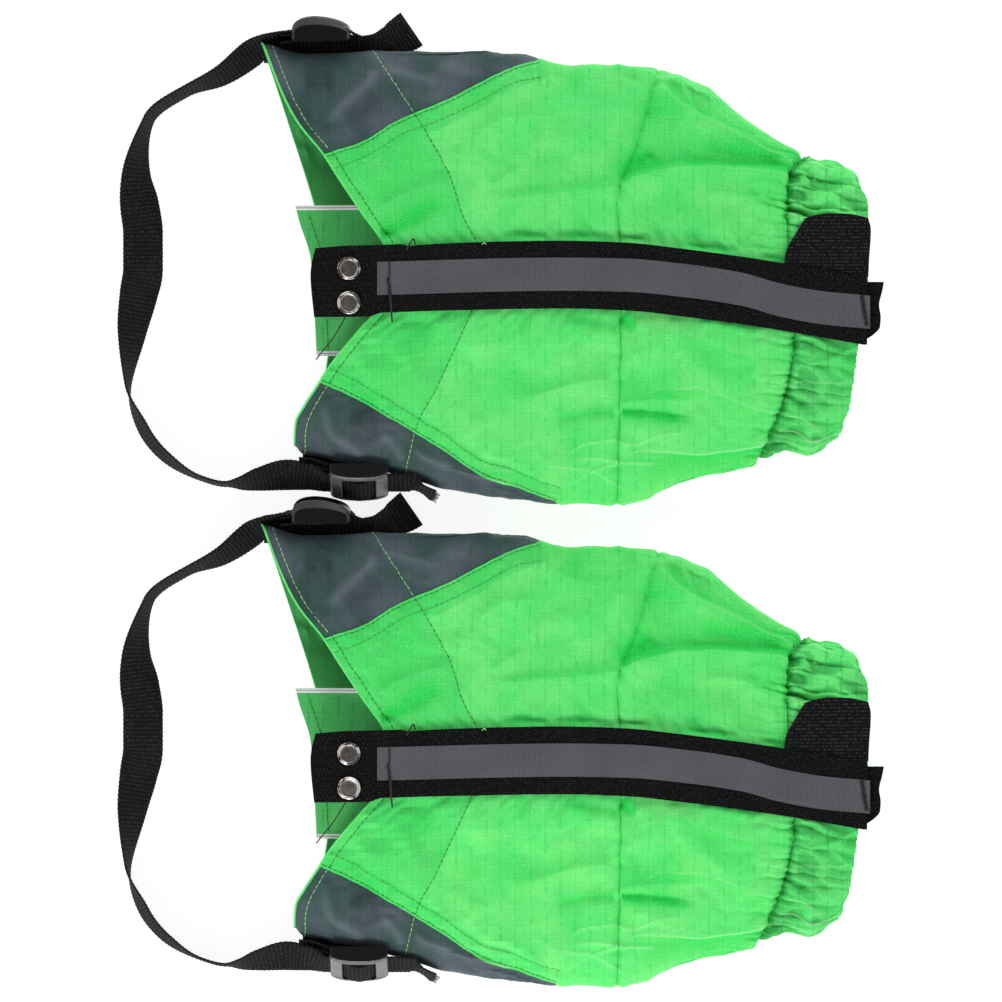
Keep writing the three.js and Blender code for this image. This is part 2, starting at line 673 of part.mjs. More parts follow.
// ---- The pair, with the middle of its footprint at the origin ----
const pair = new THREE.Group();
for (const [prefix, y] of [["left", GAITER_SPACING / 2], ["right", -GAITER_SPACING / 2]]) {
  const gaiter = new THREE.Group();
  for (const mesh of gaiterPieces()) {
    mesh.name = `${prefix}_${mesh.name}`;
    gaiter.add(mesh);
  }
  gaiter.position.y = y;
  pair.add(gaiter);
}
const bounds = new THREE.Box3().setFromObject(pair);
const middle = bounds.getCenter(new THREE.Vector3());
pair.position.set(-middle.x, -middle.y, -bounds.min.z);

const group = new THREE.Group();
group.add(pair);

export default group;
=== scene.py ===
"""A pair of short hiking gaiters: the looks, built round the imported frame.

Shapes are worked out in millimetres in one gaiter's own frame (hem at -X, cuff at +X, outer side at +Y,
closure up), then placed once for each gaiter in metres. The second gaiter is an exact copy of the first.
"""
import math

import bmesh
import bpy
import numpy as np
from mathutils import Matrix, Vector


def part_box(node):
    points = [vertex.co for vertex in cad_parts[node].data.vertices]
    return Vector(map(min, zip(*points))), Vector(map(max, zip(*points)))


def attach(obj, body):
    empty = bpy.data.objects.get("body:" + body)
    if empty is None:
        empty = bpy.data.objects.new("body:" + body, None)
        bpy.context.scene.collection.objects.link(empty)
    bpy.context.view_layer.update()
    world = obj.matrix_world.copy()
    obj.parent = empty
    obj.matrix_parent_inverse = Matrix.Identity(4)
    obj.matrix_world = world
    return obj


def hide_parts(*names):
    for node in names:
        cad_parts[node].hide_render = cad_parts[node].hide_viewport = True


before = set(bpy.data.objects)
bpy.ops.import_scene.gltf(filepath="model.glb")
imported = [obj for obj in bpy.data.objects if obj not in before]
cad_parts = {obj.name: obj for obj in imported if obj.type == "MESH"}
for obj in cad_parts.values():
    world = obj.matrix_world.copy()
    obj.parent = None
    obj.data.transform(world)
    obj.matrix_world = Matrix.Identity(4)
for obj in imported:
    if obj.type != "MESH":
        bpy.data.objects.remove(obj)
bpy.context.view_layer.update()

SIDES = ("left", "right")
TAPE_START = -93.0  # where the closure tape's free end lies in the gaiter's own frame
OUTER_RIVET_Y = -5.0


def gaiter_origin(side):
    """Where a gaiter's own origin sits, in mm, from the places of two of its CAD nodes."""
    rivet_low, rivet_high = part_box(f"{side}_outer_rivet")
    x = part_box(f"{side}_closure_tape")[0].x * 1000 - TAPE_START
    y = (rivet_low.y + rivet_high.y) * 500 - OUTER_RIVET_Y
    return np.array([x, y, 0.0])


def add_object(name, data):
    """A new object in the scene."""
    made = bpy.data.objects.new(name, data)
    bpy.context.scene.collection.objects.link(made)
    return made


ORIGIN = {side: gaiter_origin(side) for side in SIDES}
TURN = 2 * np.pi
CLOSURE = np.pi / 2  # angles run round the sleeve from its outer fold; the closure is a quarter turn on


# ---- Numbers from curves ----
def through(points):
    """A smooth function through (position, value) pairs that never overshoots, level beyond its ends."""
    at, value = np.array(points, float).T
    span, rise = np.diff(at), np.diff(value)
    grade = rise / span
    before, after = grade[:-1], grade[1:]
    same = before * after > 0
    mean = 2 * before * after / np.where(same, before + after, 1)
    slope = np.concatenate([grade[:1], np.where(same, mean, 0), grade[-1:]])

    def curve(position):
        p = np.clip(position, at[0], at[-1])
        i = np.clip(np.searchsorted(at, p) - 1, 0, len(span) - 1)
        t = (p - at[i]) / span[i]
        first = slope[i] * span[i] - rise[i]
        second = rise[i] - slope[i + 1] * span[i]
        return value[i] + t * rise[i] + t * (1 - t) * (first * (1 - t) + second * t)

    return curve


def ease(t):
    return t * t * (3 - 2 * t)


def smoothstep(value, low, high):
    return ease(np.clip((value - low) / (high - low), 0, 1))


def bell(distance, width):
    return np.exp(-((distance / width) ** 2))


def travel(points):
    """Distance along a path at each of its points."""
    steps = np.linalg.norm(np.diff(points, axis=0), axis=1)
    return np.concatenate([[0], np.cumsum(steps)])


def smooth_path(points, count):
    """count points, evenly spread in chord length, on a smooth curve through the given points."""
    points = np.array(points, float)
    along = travel(points)
    at = np.linspace(0, along[-1], count)
    return np.stack([through(list(zip(along, column)))(at) for column in points.T], axis=1)


def resample(path, spacing):
    """Points at even distances along a dense path."""
    along = travel(path)
    count = max(2, int(round(along[-1] / spacing)) + 1)
    at = np.linspace(0, along[-1], count)
    return np.stack([np.interp(at, along, column) for column in path.T], axis=1)


def ring_quads(rings, sides):
    """Faces between closed rings of points; columns FLIP turns them over."""
    i, j = np.meshgrid(np.arange(rings - 1), np.arange(sides), indexing="ij")
    after = (j + 1) % sides
    quads = np.stack([i * sides + j, (i + 1) * sides + j, (i + 1) * sides + after, i * sides + after], -1)
    return quads.reshape(-1, 4)


def ring_caps(rings, sides):
    """Faces that close the first and the last of the rings."""
    pairs = np.arange(0, sides // 2 - 1)
    cap = np.stack([pairs, pairs + 1, sides - 2 - pairs, sides - 1 - pairs], axis=-1)
    return np.concatenate([cap, cap[:, ::-1] + (rings - 1) * sides])


FLIP = [0, 3, 2, 1]


def closed_tube(rings, sides):
    """Faces of a tube with closed ends."""
    return np.concatenate([ring_quads(rings, sides)[:, FLIP], ring_caps(rings, sides)])


class Noise:
    """Smooth repeatable noise between about -1 and 1, of positions in the plane."""

    CELLS = 256  # it repeats after so many

    def __init__(self, seed):
        turn = np.random.default_rng(seed).uniform(0, TURN, (self.CELLS, self.CELLS))
        self.gradient = np.stack([np.cos(turn), np.sin(turn)], axis=-1)

    def __call__(self, u, v):
        cell_u, cell_v = np.floor(u).astype(int), np.floor(v).astype(int)
        fu, fv = u - cell_u, v - cell_v
        total = 0.0
        for du in (0, 1):
            for dv in (0, 1):
                gradient = self.gradient[(cell_u + du) % self.CELLS, (cell_v + dv) % self.CELLS]
                slope = gradient[..., 0] * (fu - du) + gradient[..., 1] * (fv - dv)
                weight_u = ease(fu) if du else 1 - ease(fu)
                weight_v = ease(fv) if dv else 1 - ease(fv)
                total = total + slope * weight_u * weight_v
        return total * 1.5


BROAD, CRUMPLE, FINE, ALONG_SEAM = (Noise(seed) for seed in (11, 23, 37, 53))

# ---- The sleeve's form: outlines seen from above, heights seen from the side ----
outer_edge = through([
    (-120, 110), (-93, 104.5), (-50, 104.5), (5, 103), (35, 98), (70, 97), (100, 87),
    (120, 72), (145, 55), (155, 48.5), (170, 46), (184, 40)])
inner_edge = through([
    (-105, -90), (-98, -97), (-83, -100), (-60, -106), (-31, -113.7), (0, -119.5), (30, -121.5),
    (60, -121), (90, -111), (120, -104), (142, -96), (153, -97), (168, -89), (178, -78)])
closure_line = through([
    (-120, -12), (-60, -11), (-25, -9), (30, -8), (62, -9), (90, -12), (120, -16), (140, -19),
    (180, -26)])
crest_height = through([
    (-120, 35), (-60, 41), (0, 44), (60, 44), (120, 41.5), (150, 38), (184, 37)])
flank_height = through([(-120, 16), (0, 19), (90, 19), (150, 17), (184, 16)])

# Seams and edges across the sleeve: x against the cosine of the angle round it (1 is the outer fold).
front_hem = through([
    (-1, -103), (-0.87, -102.5), (-0.54, -89), (-0.28, -72), (-0.137, -60.5), (0, -52),
    (0.164, -59), (0.29, -69), (0.44, -80.5), (0.56, -89.5), (0.69, -102), (0.81, -110), (1, -119.5)])
back_hem = through([(-1, -103), (-0.5, -88), (0, -84), (0.35, -94), (0.77, -110), (1, -119.5)])
front_facing = through([
    (-1, -48), (-0.69, -41), (-0.49, -30), (-0.16, -14.6), (0, -8), (0.145, -12), (0.235, -17),
    (0.5, -28.5), (0.73, -43.7), (1, -62)])
middle_seam = through([(-1, 58), (0, 60), (0.35, 58), (0.6, 67), (1, 79)])
cuff_seam = through([(-1, 130), (-0.66, 141), (-0.27, 146), (0.43, 142.5), (0.8, 143.5), (1, 151)])
cuff_end = through([(-1, 168), (-0.8, 174), (-0.3, 178), (0.4, 183), (0.8, 183), (1, 176)])

# Side panels: half their angle round the fold in degrees, against x, narrowing to a point.
OUTER_POINT, INNER_POINT, POINT_TRIM = 24.0, 33.0, 3.0
outer_side_angle = through([
    (-89, 57), (-69.5, 53), (-51, 46), (-28.5, 39), (2, 23), (16.5, 11.5), (OUTER_POINT, 0.4)])
inner_side_angle = through([
    (-90, 55), (-70, 49.5), (-44, 41), (-26, 34), (-9, 25), (9, 19), (24, 9), (INNER_POINT, 0.4)])


def hem(angle):
    return np.where(np.sin(angle) >= 0, front_hem(np.cos(angle)), back_hem(np.cos(angle)))


def facing_end(angle):
    """Where the hem facing ends: the V seam in front, and across the heel behind."""
    across = np.cos(angle)
    return np.where(np.sin(angle) >= 0, front_facing(across), back_hem(across) + 45 + 12 * across**4)


def outer_seam(x):
    return np.radians(outer_side_angle(x))


def inner_seam(x):
    return np.radians(inner_side_angle(x))


def shell_point(x, angle, inset=0.0):
    """A point of the plain sleeve: station x, angle round it from the outer fold, distance inside."""
    across, up = np.cos(angle), np.sin(angle)
    middle = closure_line(x)
    half = np.where(across > 0, outer_edge(x) - middle, middle - inner_edge(x))
    flank = flank_height(x)
    under = np.maximum(0, flank * (1 - 1.15 * np.abs(up) ** 0.8))
    height = np.where(up >= 0, flank + (crest_height(x) - flank) * up, under)
    return np.stack([x + 0 * angle, middle + (half - inset) * across, height - inset * up], axis=-1)


def unit(vectors):
    return vectors / np.maximum(np.linalg.norm(vectors, axis=-1, keepdims=True), 1e-9)


def shell_normal(x, angle):
    """The outward direction at a place on the plain sleeve."""
    step_x, step_angle = 0.6, 0.02
    along = shell_point(x + step_x, angle) - shell_point(x - step_x, angle)
    around = shell_point(x, angle + step_angle) - shell_point(x, angle - step_angle)
    return unit(np.cross(along, around) * -1.0)


def angle_across(x, y):
    """The angle round the sleeve of the upper surface's point at station x and width y."""
    middle = closure_line(x)
    half = np.where(y > middle, outer_edge(x) - middle, middle - inner_edge(x))
    return np.arccos(np.clip((y - middle) / half, -1, 1))


# Distance round the sleeve from the closure line, from a table of its cross sections.
TABLE_X = np.linspace(-122, 186, 155)
TABLE_ANGLE = CLOSURE + np.linspace(-np.pi, np.pi, 721)


def make_arc_table():
    x, angle = np.meshgrid(TABLE_X, TABLE_ANGLE, indexing="ij")
    ring = shell_point(x, angle)
    steps = np.linalg.norm(np.diff(ring, axis=1), axis=2)
    arc = np.concatenate([np.zeros((len(TABLE_X), 1)), np.cumsum(steps, axis=1)], axis=1)
    return arc - arc[:, [len(TABLE_ANGLE) // 2]]


def bilinear(table, row, column):
    """Values of a table at fractional rows and columns."""
    i = np.clip(np.floor(row).astype(int), 0, table.shape[0] - 2)
    j = np.clip(np.floor(column).astype(int), 0, table.shape[1] - 2)
    r, c = np.clip(row - i, 0, 1), np.clip(column - j, 0, 1)
    if table.ndim == 3:
        r, c = r[..., None], c[..., None]
    near = table[i, j] * (1 - c) + table[i, j + 1] * c
    far = table[i + 1, j] * (1 - c) + table[i + 1, j + 1] * c
    return near * (1 - r) + far * r


ARC_TABLE = make_arc_table()


def arc_length(x, angle):
    """Distance in mm round the sleeve from the closure line, below zero on the outer side."""
    turned = (angle - CLOSURE + np.pi) % TURN
    row = (x - TABLE_X[0]) / (TABLE_X[1] - TABLE_X[0])
    column = turned / (TABLE_ANGLE[1] - TABLE_ANGLE[0])
    return bilinear(ARC_TABLE, row, column)


# ---- Folds and creases pressed into the fabric ----
CREASE_WIDTH, GLOW_WIDTH = 0.34, 2.4  # of the whitening along a fold: a thin crease line that is partly real whitening of the cloth and partly painted highlight, and a broad painted highlight


class Fold:
    """A soft ridge (height above 0) or valley (below 0) along a curve seen from above.

    near and far are its widths to the left and to the right of the curve's direction. dark is how
    much painted shade deepens the fabric's colour along it; pale is how much a thin crease line whitens
    it, partly as real whitening of the coated cloth and partly as a painted highlight. With shade, the
    painted shade falls only to the left, over that many mm. glow is a broad painted highlight. begin and
    end are the shares of its length over which it fades in and out, and under puts it on the sleeve's
    underside.
    """

    def __init__(self, points, height, near, far, dark=0.0, pale=0.0, shade=0.0, glow=0.0, begin=0.2,
                 end=0.2, under=False):
        self.path = smooth_path(points, 6 * len(points))
        self.height, self.near, self.far = height, near, far
        self.dark, self.pale, self.shade, self.glow = dark, pale, shade, glow
        self.begin, self.end, self.under = begin, end, under
        self.reach = 3 * max(near, far, shade)

    def measure(self, plan):
        """Signed distance from the curve, and how much of the fold is there, for points (n, 2)."""
        starts, spans = self.path[:-1], np.diff(self.path, axis=0)
        lengths = np.linalg.norm(spans, axis=1)
        before = travel(self.path)
        best = np.full(len(plan), np.inf)
        signed, travelled = np.zeros(len(plan)), np.zeros(len(plan))
        for start, span, length, passed in zip(starts, spans, lengths, before):
            offset = plan - start
            t = np.clip(offset @ span / length**2, 0, 1)
            gap = offset - t[:, None] * span
            distance = np.hypot(gap[:, 0], gap[:, 1])
            closer = distance < best
            best = np.where(closer, distance, best)
            side = np.sign(span[0] * offset[:, 1] - span[1] * offset[:, 0])
            signed = np.where(closer, side * distance, signed)
            travelled = np.where(closer, (passed + t * length) / before[-1], travelled)
        present = smoothstep(travelled, 0, self.begin) * smoothstep(1 - travelled, 0, self.end)
        return signed, present

    def add_to(self, plan, upper, height, dark, pale):
        low, high = self.path.min(0) - self.reach, self.path.max(0) + self.reach
        side = ~upper if self.under else upper
        inside = side & (plan > low).all(1) & (plan < high).all(1)
        if not inside.any():
            return
        signed, present = self.measure(plan[inside])
        shape = present * bell(signed, np.where(signed > 0, self.near, self.far))
        height[inside] += self.height * shape
        # painted shade: round the fold, or with shade only on its left
        if self.shade:
            tone = smoothstep(signed, -0.5, 0.9) * np.exp(-np.maximum(signed, 0) / self.shade)
        else:
            tone = bell(signed - 0.6 * self.near, 1.5 * self.near)
        dark[inside] += self.dark * present * tone
        # a thin crease line, partly real whitening and partly painted highlight, and a broad painted
        # highlight
        whitened = self.pale * bell(signed, CREASE_WIDTH) + self.glow * bell(signed, GLOW_WIDTH)
        pale[inside] += present * whitened


FOLDS = [
    # above the closure, from the middle seam towards the cuff: two long overlapping folds
    Fold([(59, 36), (63, 38.5), (68, 41), (79.5, 44.5), (89.5, 46), (102.5, 46.5), (117.5, 45),
          (129.5, 43.5), (139.5, 41.5), (144, 38)],
         4.4, 1.5, 11, dark=1.0, shade=9, begin=0.06, end=0.05),
    Fold([(78, 88), (82.5, 82), (88.5, 75.5), (97.5, 70.5), (109.5, 64), (125.5, 55.5), (139.5, 49.5),
          (146, 44)],
         4.6, 1.6, 7, dark=0.9, shade=6, pale=0.35, begin=0.08, end=0.05),
    Fold([(60, 37.5), (67, 46), (78, 52)], -1.2, 4, 4, dark=0.5, begin=0.1),
    Fold([(96, 58), (112, 54), (128, 50), (142, 44.5)], -1.8, 3, 3, dark=0.5),
    Fold([(55, 98), (66, 93), (81, 90)], 1.6, 2, 3, dark=0.3, shade=4),
    Fold([(84, 93), (98, 85), (108, 80)], 1.8, 2, 4, dark=0.3, shade=5, pale=0.3),
    Fold([(60, 70), (72, 61), (86, 55)], 1.2, 4, 5, dark=0.25),
    Fold([(70, 70), (80, 72), (90, 66)], -1.0, 4, 4, dark=0.3),
    Fold([(98, 30), (110, 33), (122, 30), (131, 25), (136, 19)], 2.0, 2.4, 3, dark=0.35, shade=4),
    Fold([(122, 36), (130, 38), (140, 34)], 1.1, 2, 3, dark=0.25),
    Fold([(64, 20), (80, 24), (100, 21), (120, 14)], 1.1, 4, 3, dark=0.2),
    # above the closure, on the hem side of the middle seam
    Fold([(-7, 31), (5.5, 30.5), (19.5, 32.5), (39.5, 33.5), (54.5, 35), (59.5, 36)], 2.0, 1.6, 7,
         dark=0.6, shade=3.5, begin=0.2, end=0.03),
    Fold([(-5.5, 35), (1, 40), (7.5, 44), (12.5, 47.5)], 1.4, 2.5, 4, dark=0.45, shade=5),
    Fold([(-13, 60), (-5.5, 66), (4.5, 70), (25.5, 72.5)], 1.3, 4, 5, dark=0.4, shade=7, begin=0.3, end=0.4),
    Fold([(-60, 11), (-54, 13), (-45, 17), (-36, 22.5), (-24, 29)], -2.4, 3.5, 3, dark=0.9,
         begin=0.05, end=0.3),
    Fold([(-66, 22), (-52, 30), (-36, 36), (-20, 39)], 1.8, 2.5, 6, dark=0.35, shade=5),
    Fold([(-70, 34), (-52, 46), (-34, 53)], 1.2, 5, 6, dark=0.2),
    Fold([(16, 92), (30, 84), (46, 80), (60, 82)], 1.1, 3, 5, dark=0.3, shade=6),
    Fold([(20, 56), (36, 60), (54, 58)], 0.9, 4, 5, dark=0.15),
    Fold([(58, 96), (62, 84), (58.5, 66), (56, 50)], 1.2, 2.5, 2, dark=0.2, shade=5),
    # the side panels
    Fold([(-86, 67), (-77.5, 76), (-69.5, 83), (-63.5, 90), (-63.5, 97)], 3.2, 3, 6, glow=0.32),
    Fold([(-100, 88), (-90, 88), (-80, 88)], -1.8, 6, 6, dark=0.7),
    Fold([(-78, 66), (-66, 74), (-58, 84)], -1.2, 4, 4, dark=0.55),
    Fold([(-60, 98), (-52, 94), (-42, 91), (-30, 88)], 1.4, 2.5, 5, glow=0.22, pale=0.2),
    Fold([(-50, 84), (-38, 80), (-26, 82)], 0.9, 3, 4, glow=0.12),
    Fold([(-34, 97), (-20, 94), (-8, 90)], 1.2, 3, 5, glow=0.12),
    Fold([(-90, -70), (-83.5, -87), (-77.5, -91), (-70.5, -97), (-68.5, -103)], 2.2, 4, 4, glow=0.3),
    Fold([(-74, -74), (-66, -82), (-62, -92)], -1.6, 5, 5, dark=0.6),
    Fold([(-60, -86), (-55, -91), (-50.5, -97), (-48.5, -103)], 1.8, 3, 4, glow=0.28),
    Fold([(-44, -93), (-40, -98), (-33, -101), (-22, -103)], 1.8, 3, 4, glow=0.26, pale=0.2),
    Fold([(-36, -103), (-20, -106), (-4, -110), (10, -113)], 1.2, 1.8, 3, glow=0.12, pale=0.35),
    Fold([(-20, -98), (-6, -102), (10, -106)], 0.9, 2, 3, glow=0.1),
    # below the closure: a pinched crease each side of the middle seam
    Fold([(102, -79.5), (88, -78), (76, -76.5), (66, -75.6), (60, -75.2)], -2.6, 2.0, 1.6, dark=1.0,
         begin=0.4, end=0.02),
    Fold([(60, -72), (72, -70.5), (86, -70), (104, -71)], 1.2, 4, 3, dark=0.6, shade=8, begin=0.03, end=0.4),
    Fold([(24, -80), (36, -78.8), (47, -77), (57, -76.6)], -1.8, 1.8, 2.2, dark=0.7, begin=0.4, end=0.04),
    Fold([(2, -70), (19.5, -67), (34.5, -63), (56, -59.5)], 1.2, 3, 5, dark=0.45, shade=7,
         begin=0.35, end=0.1),
    Fold([(59, -29.5), (63, -32.5), (68.5, -36)], -1.8, 2.4, 2.4, dark=0.9, begin=0.05, end=0.4),
    Fold([(58, -33), (46, -31), (30, -29)], -1.0, 2, 2.4, dark=0.5, begin=0.05, end=0.5),
    Fold([(131, -51), (111.5, -45), (94, -38.5), (75, -35)], 1.5, 3, 5, dark=0.5, shade=8,
         begin=0.1, end=0.3),
    Fold([(137, -77.5), (127.5, -74), (111.5, -68.5), (96, -64), (80.5, -65), (68.5, -69.5)], 1.8, 3, 7,
         dark=0.4, shade=7, pale=0.35, begin=0.05, end=0.2),
    Fold([(96, -31), (114, -34), (132, -38)], 1.2, 4, 4, dark=0.25),
    Fold([(-20, -62), (2, -68), (24, -66)], 0.9, 7, 6, dark=0.2),
    Fold([(-74, -60), (-58, -56), (-44, -42), (-36, -33)], 1.2, 5, 6, dark=0.2),
    # the sleeve's lower edge rolls under below a pale crease
    Fold([(136, -91.5), (129.5, -92), (116, -94), (103, -96), (91.5, -96.5), (71.5, -96), (60.5, -99.5),
          (50, -104)],
         1.5, 2.2, 3, dark=1.0, shade=9, pale=0.75, begin=0.03, end=0.5),
    Fold([(33, -99), (48, -98.5), (62, -101.5), (80, -102.5)], 0.7, 1.0, 1.2, pale=0.8),
    Fold([(30, -98), (44, -91), (56, -90), (66, -93), (80, -87), (96, -85.5)], 0.6, 1.0, 1.2, pale=0.6),
    Fold([(22, -101), (40, -103.5), (54, -110), (64, -116)], 0.6, 1.0, 1.2, pale=0.5),
    Fold([(34, -112), (48, -105), (60, -100)], 0.5, 1.0, 1.2, pale=0.4),
    # thin pale creases on the cuff
    Fold([(134, -84), (146, -86), (156, -89.5), (168, -86), (178, -82)], 1.0, 1.2, 1.4, pale=0.8),
    Fold([(137, -66), (150, -61), (166, -62), (177, -58)], 1.0, 1.3, 1.6, pale=0.4),
    Fold([(140, -76), (152, -80), (162, -88)], 0.9, 1.2, 1.4, pale=0.6),
    Fold([(142, -24), (154, -26.5), (170, -24), (180, -29)], 1.6, 1.6, 2.2, dark=0.6, shade=4),
    Fold([(139, -48), (152, -52), (166, -49), (176, -45)], 1.0, 1.4, 2, dark=0.3, shade=3),
    # a low fold above the closure, near the hem
    Fold([(-40, 46), (-20, 52), (0, 50)], 0.6, 2.5, 2.5, dark=0.15),
    # the underside
    Fold([(-70, 60), (-30, 48), (20, 52), (70, 40)], -2.2, 5, 5, dark=0.6, under=True),
    Fold([(-60, -50), (-10, -62), (50, -52), (100, -60)], -2.2, 5, 4, dark=0.6, under=True),
    Fold([(60, 0), (90, 8), (130, -2)], -1.6, 4, 4, dark=0.5, under=True),
    Fold([(-50, -8), (-20, 4), (24, -4)], -1.4, 4, 4, dark=0.4, under=True),
    Fold([(-20, 88), (20, 80), (60, 70)], -1.8, 4, 6, dark=0.4, under=True),
    Fold([(0, -96), (40, -90), (90, -80)], -1.8, 4, 6, dark=0.4, under=True),
]

TAPE_HALF = 17.0  # half the closure tape's width
GATHER_PITCH, PUFF_PITCH = 3.6, 7.4  # of the cuff seam's small gathers and of the puffs between them
HEM_STITCH = 5.0  # the hem's stitched row, from the folded edge
SEAM_ROWS = (1.5, 8.5)  # the two stitched rows beside a side panel's seam
BAND = 9.6  # width of the doubled fabric beside that seam
TAB_START, TAB_WIDTH = 134.0, 40.0  # the pull tab lies flat from here on, up to this far from the closure
STUCK_FROM = -52.0  # the closure tape lies on the sleeve from here on
SIDE_END = INNER_POINT - POINT_TRIM  # no side panel reaches past this
DEEPEST, HIGHEST = -5.0, 5.2  # limits of the pressed folds


def gathers(arc, pitch, seed):
    """Uneven waves along a gathered seam, between about -1 and 1."""
    drift = 1.9 * ALONG_SEAM(arc / 23.0, np.full_like(arc, seed))
    swell = 0.75 + 0.5 * ALONG_SEAM(arc / 17.0, np.full_like(arc, seed + 9.3))
    return np.sin(TURN * arc / pitch + 2.2 * drift) * swell


def ridged_gathers(arc, pitch, seed):
    """Rounded puffs with sharp creases between them, between about -1 and 1."""
    drift = 2.6 * ALONG_SEAM(arc / (2.8 * pitch), np.full_like(arc, seed))
    swell = 0.8 + 0.5 * ALONG_SEAM(arc / (2.1 * pitch), np.full_like(arc, seed + 5.1))
    return (2 * np.abs(np.sin(np.pi * arc / pitch + drift)) ** 0.75 - 1) * swell


def crumpled(x, arc):
    """Soft crumpling everywhere: how high it stands, the painted shade in its hollows, and no whitening."""
    ridged = 1 - np.abs(CRUMPLE(x / 26 + 7.1, arc / 31 + 3.3)) * 2
    height = 1.3 * BROAD(x / 46, arc / 52) + 0.55 * (ridged - 0.5)
    height = height + 0.22 * CRUMPLE(x / 9.5, arc / 12.5) + 0.07 * FINE(x / 3.7, arc / 4.1)
    return height, 0.35 * smoothstep(0.5 - ridged, 0.2, 1.1), 0.0


def gathered_cuff(x, across, arc):
    """The same for the cuff seam: a notch with a bulge each side, and gathers that fade away from it."""
    past = x - cuff_seam(across)
    fine = gathers(arc, GATHER_PITCH, 0.5)
    puffs = ridged_gathers(arc + 3.0 * CRUMPLE(x / 14, arc / 9), PUFF_PITCH, 4.5)
    billow = 1.2 - 3.4 * np.abs(CRUMPLE(x / 15 + 3.3, arc / 8.5 + 1.7)) ** 0.7
    loose = 0.55 + 0.45 * smoothstep(across, -0.1, 0.5)
    leg_fine, leg_wide = (np.where(past < 0, np.exp(past / reach), 0) for reach in (5.5, 12))
    cuff_fine, cuff_wide = (np.where(past >= 0, np.exp(-past / reach), 0) for reach in (8, 34))
    cuff_wide = cuff_wide * loose
    height = -1.9 * bell(past, 1.8) + 1.0 * bell(past - 5.5, 3.2) + 0.9 * bell(past + 5.0, 3.2)
    height = height + 0.75 * fine * leg_fine + 1.1 * puffs * leg_wide + 0.55 * fine * cuff_fine
    height = height + (2.5 * puffs + 1.9 * billow) * cuff_wide
    # painted shade: in the seam's notch and in the creases between the gathers, the puffs and the billows
    dark = 0.8 * bell(past, 1.4) + 0.5 * smoothstep(-fine, 0.1, 0.9) * (leg_fine + cuff_fine)
    dark = dark + smoothstep(-puffs, 0.0, 0.6) * (0.7 * leg_wide + 1.1 * cuff_wide)
    dark = dark + 0.9 * smoothstep(-billow, -0.1, 0.7) * cuff_wide
    # painted highlights on the crests of the gathers, the puffs and the billows
    pale = 0.22 * smoothstep(fine, 0.7, 1.05) * (leg_fine + cuff_fine) * (np.abs(past) > 2)
    pale = pale + (0.25 * smoothstep(puffs, 0.75, 1.0) + 0.2 * smoothstep(billow, 0.6, 1.1)) * cuff_wide
    return height, dark, pale


def pressed_seams(x, angle, arc):
    """The same for the other seams and the rows of stitches, which pucker the fabric."""
    past = x - middle_seam(np.cos(angle))
    height = -0.8 * bell(past, 1.0) + 0.35 * bell(np.abs(past) - 3, 2.0)
    height = height + 0.3 * gathers(arc, 8.2, 2.5) * bell(past, 5)
    for row in (x - hem(angle) - HEM_STITCH, x - facing_end(angle)):
        height = height + bell(row, 1.1) * (-0.3 + 0.16 * gathers(arc, 4.6, 7.5))
        height = height + 0.16 * bell(row, 5) * gathers(arc, 9.7, 1.5)
    beside = seam_distance(x, angle)
    height = height - 0.3 * bell(beside - SEAM_ROWS[0], 0.9) - 0.22 * bell(beside - SEAM_ROWS[1], 0.9)
    height = height + 0.18 * bell(beside - 5, 4.5) * gathers(x * 1.2, 7.7, 3.5)
    banded = smoothstep(beside, 0.0, 1.2) * smoothstep(BAND - beside, 0.0, 1.6) * (x < SIDE_END)
    # painted shade in the middle seam's groove, and broken darker patches over the doubled band beside the
    # side panels' seams
    dark = 0.25 * bell(past, 2.2)
    dark = dark + 0.3 * banded * (0.6 + 0.6 * smoothstep(FINE(x / 5.1, arc / 2.3), -0.3, 0.4))
    return height, dark, 0.0


def tape_valley(x, from_line):
    """How much of a valley lies along the closure tape's upper edge, in broken stretches."""
    wave = 1.0 + 0.8 * CRUMPLE(x / 17, x * 0 + 2.2)
    valley = bell(from_line - TAPE_HALF - 1.2 - wave, 1.5 * wave) * smoothstep(x, -26, 0)
    return valley * smoothstep(CRUMPLE(x / 23, x * 0 + 5.9), -0.25, 0.3)


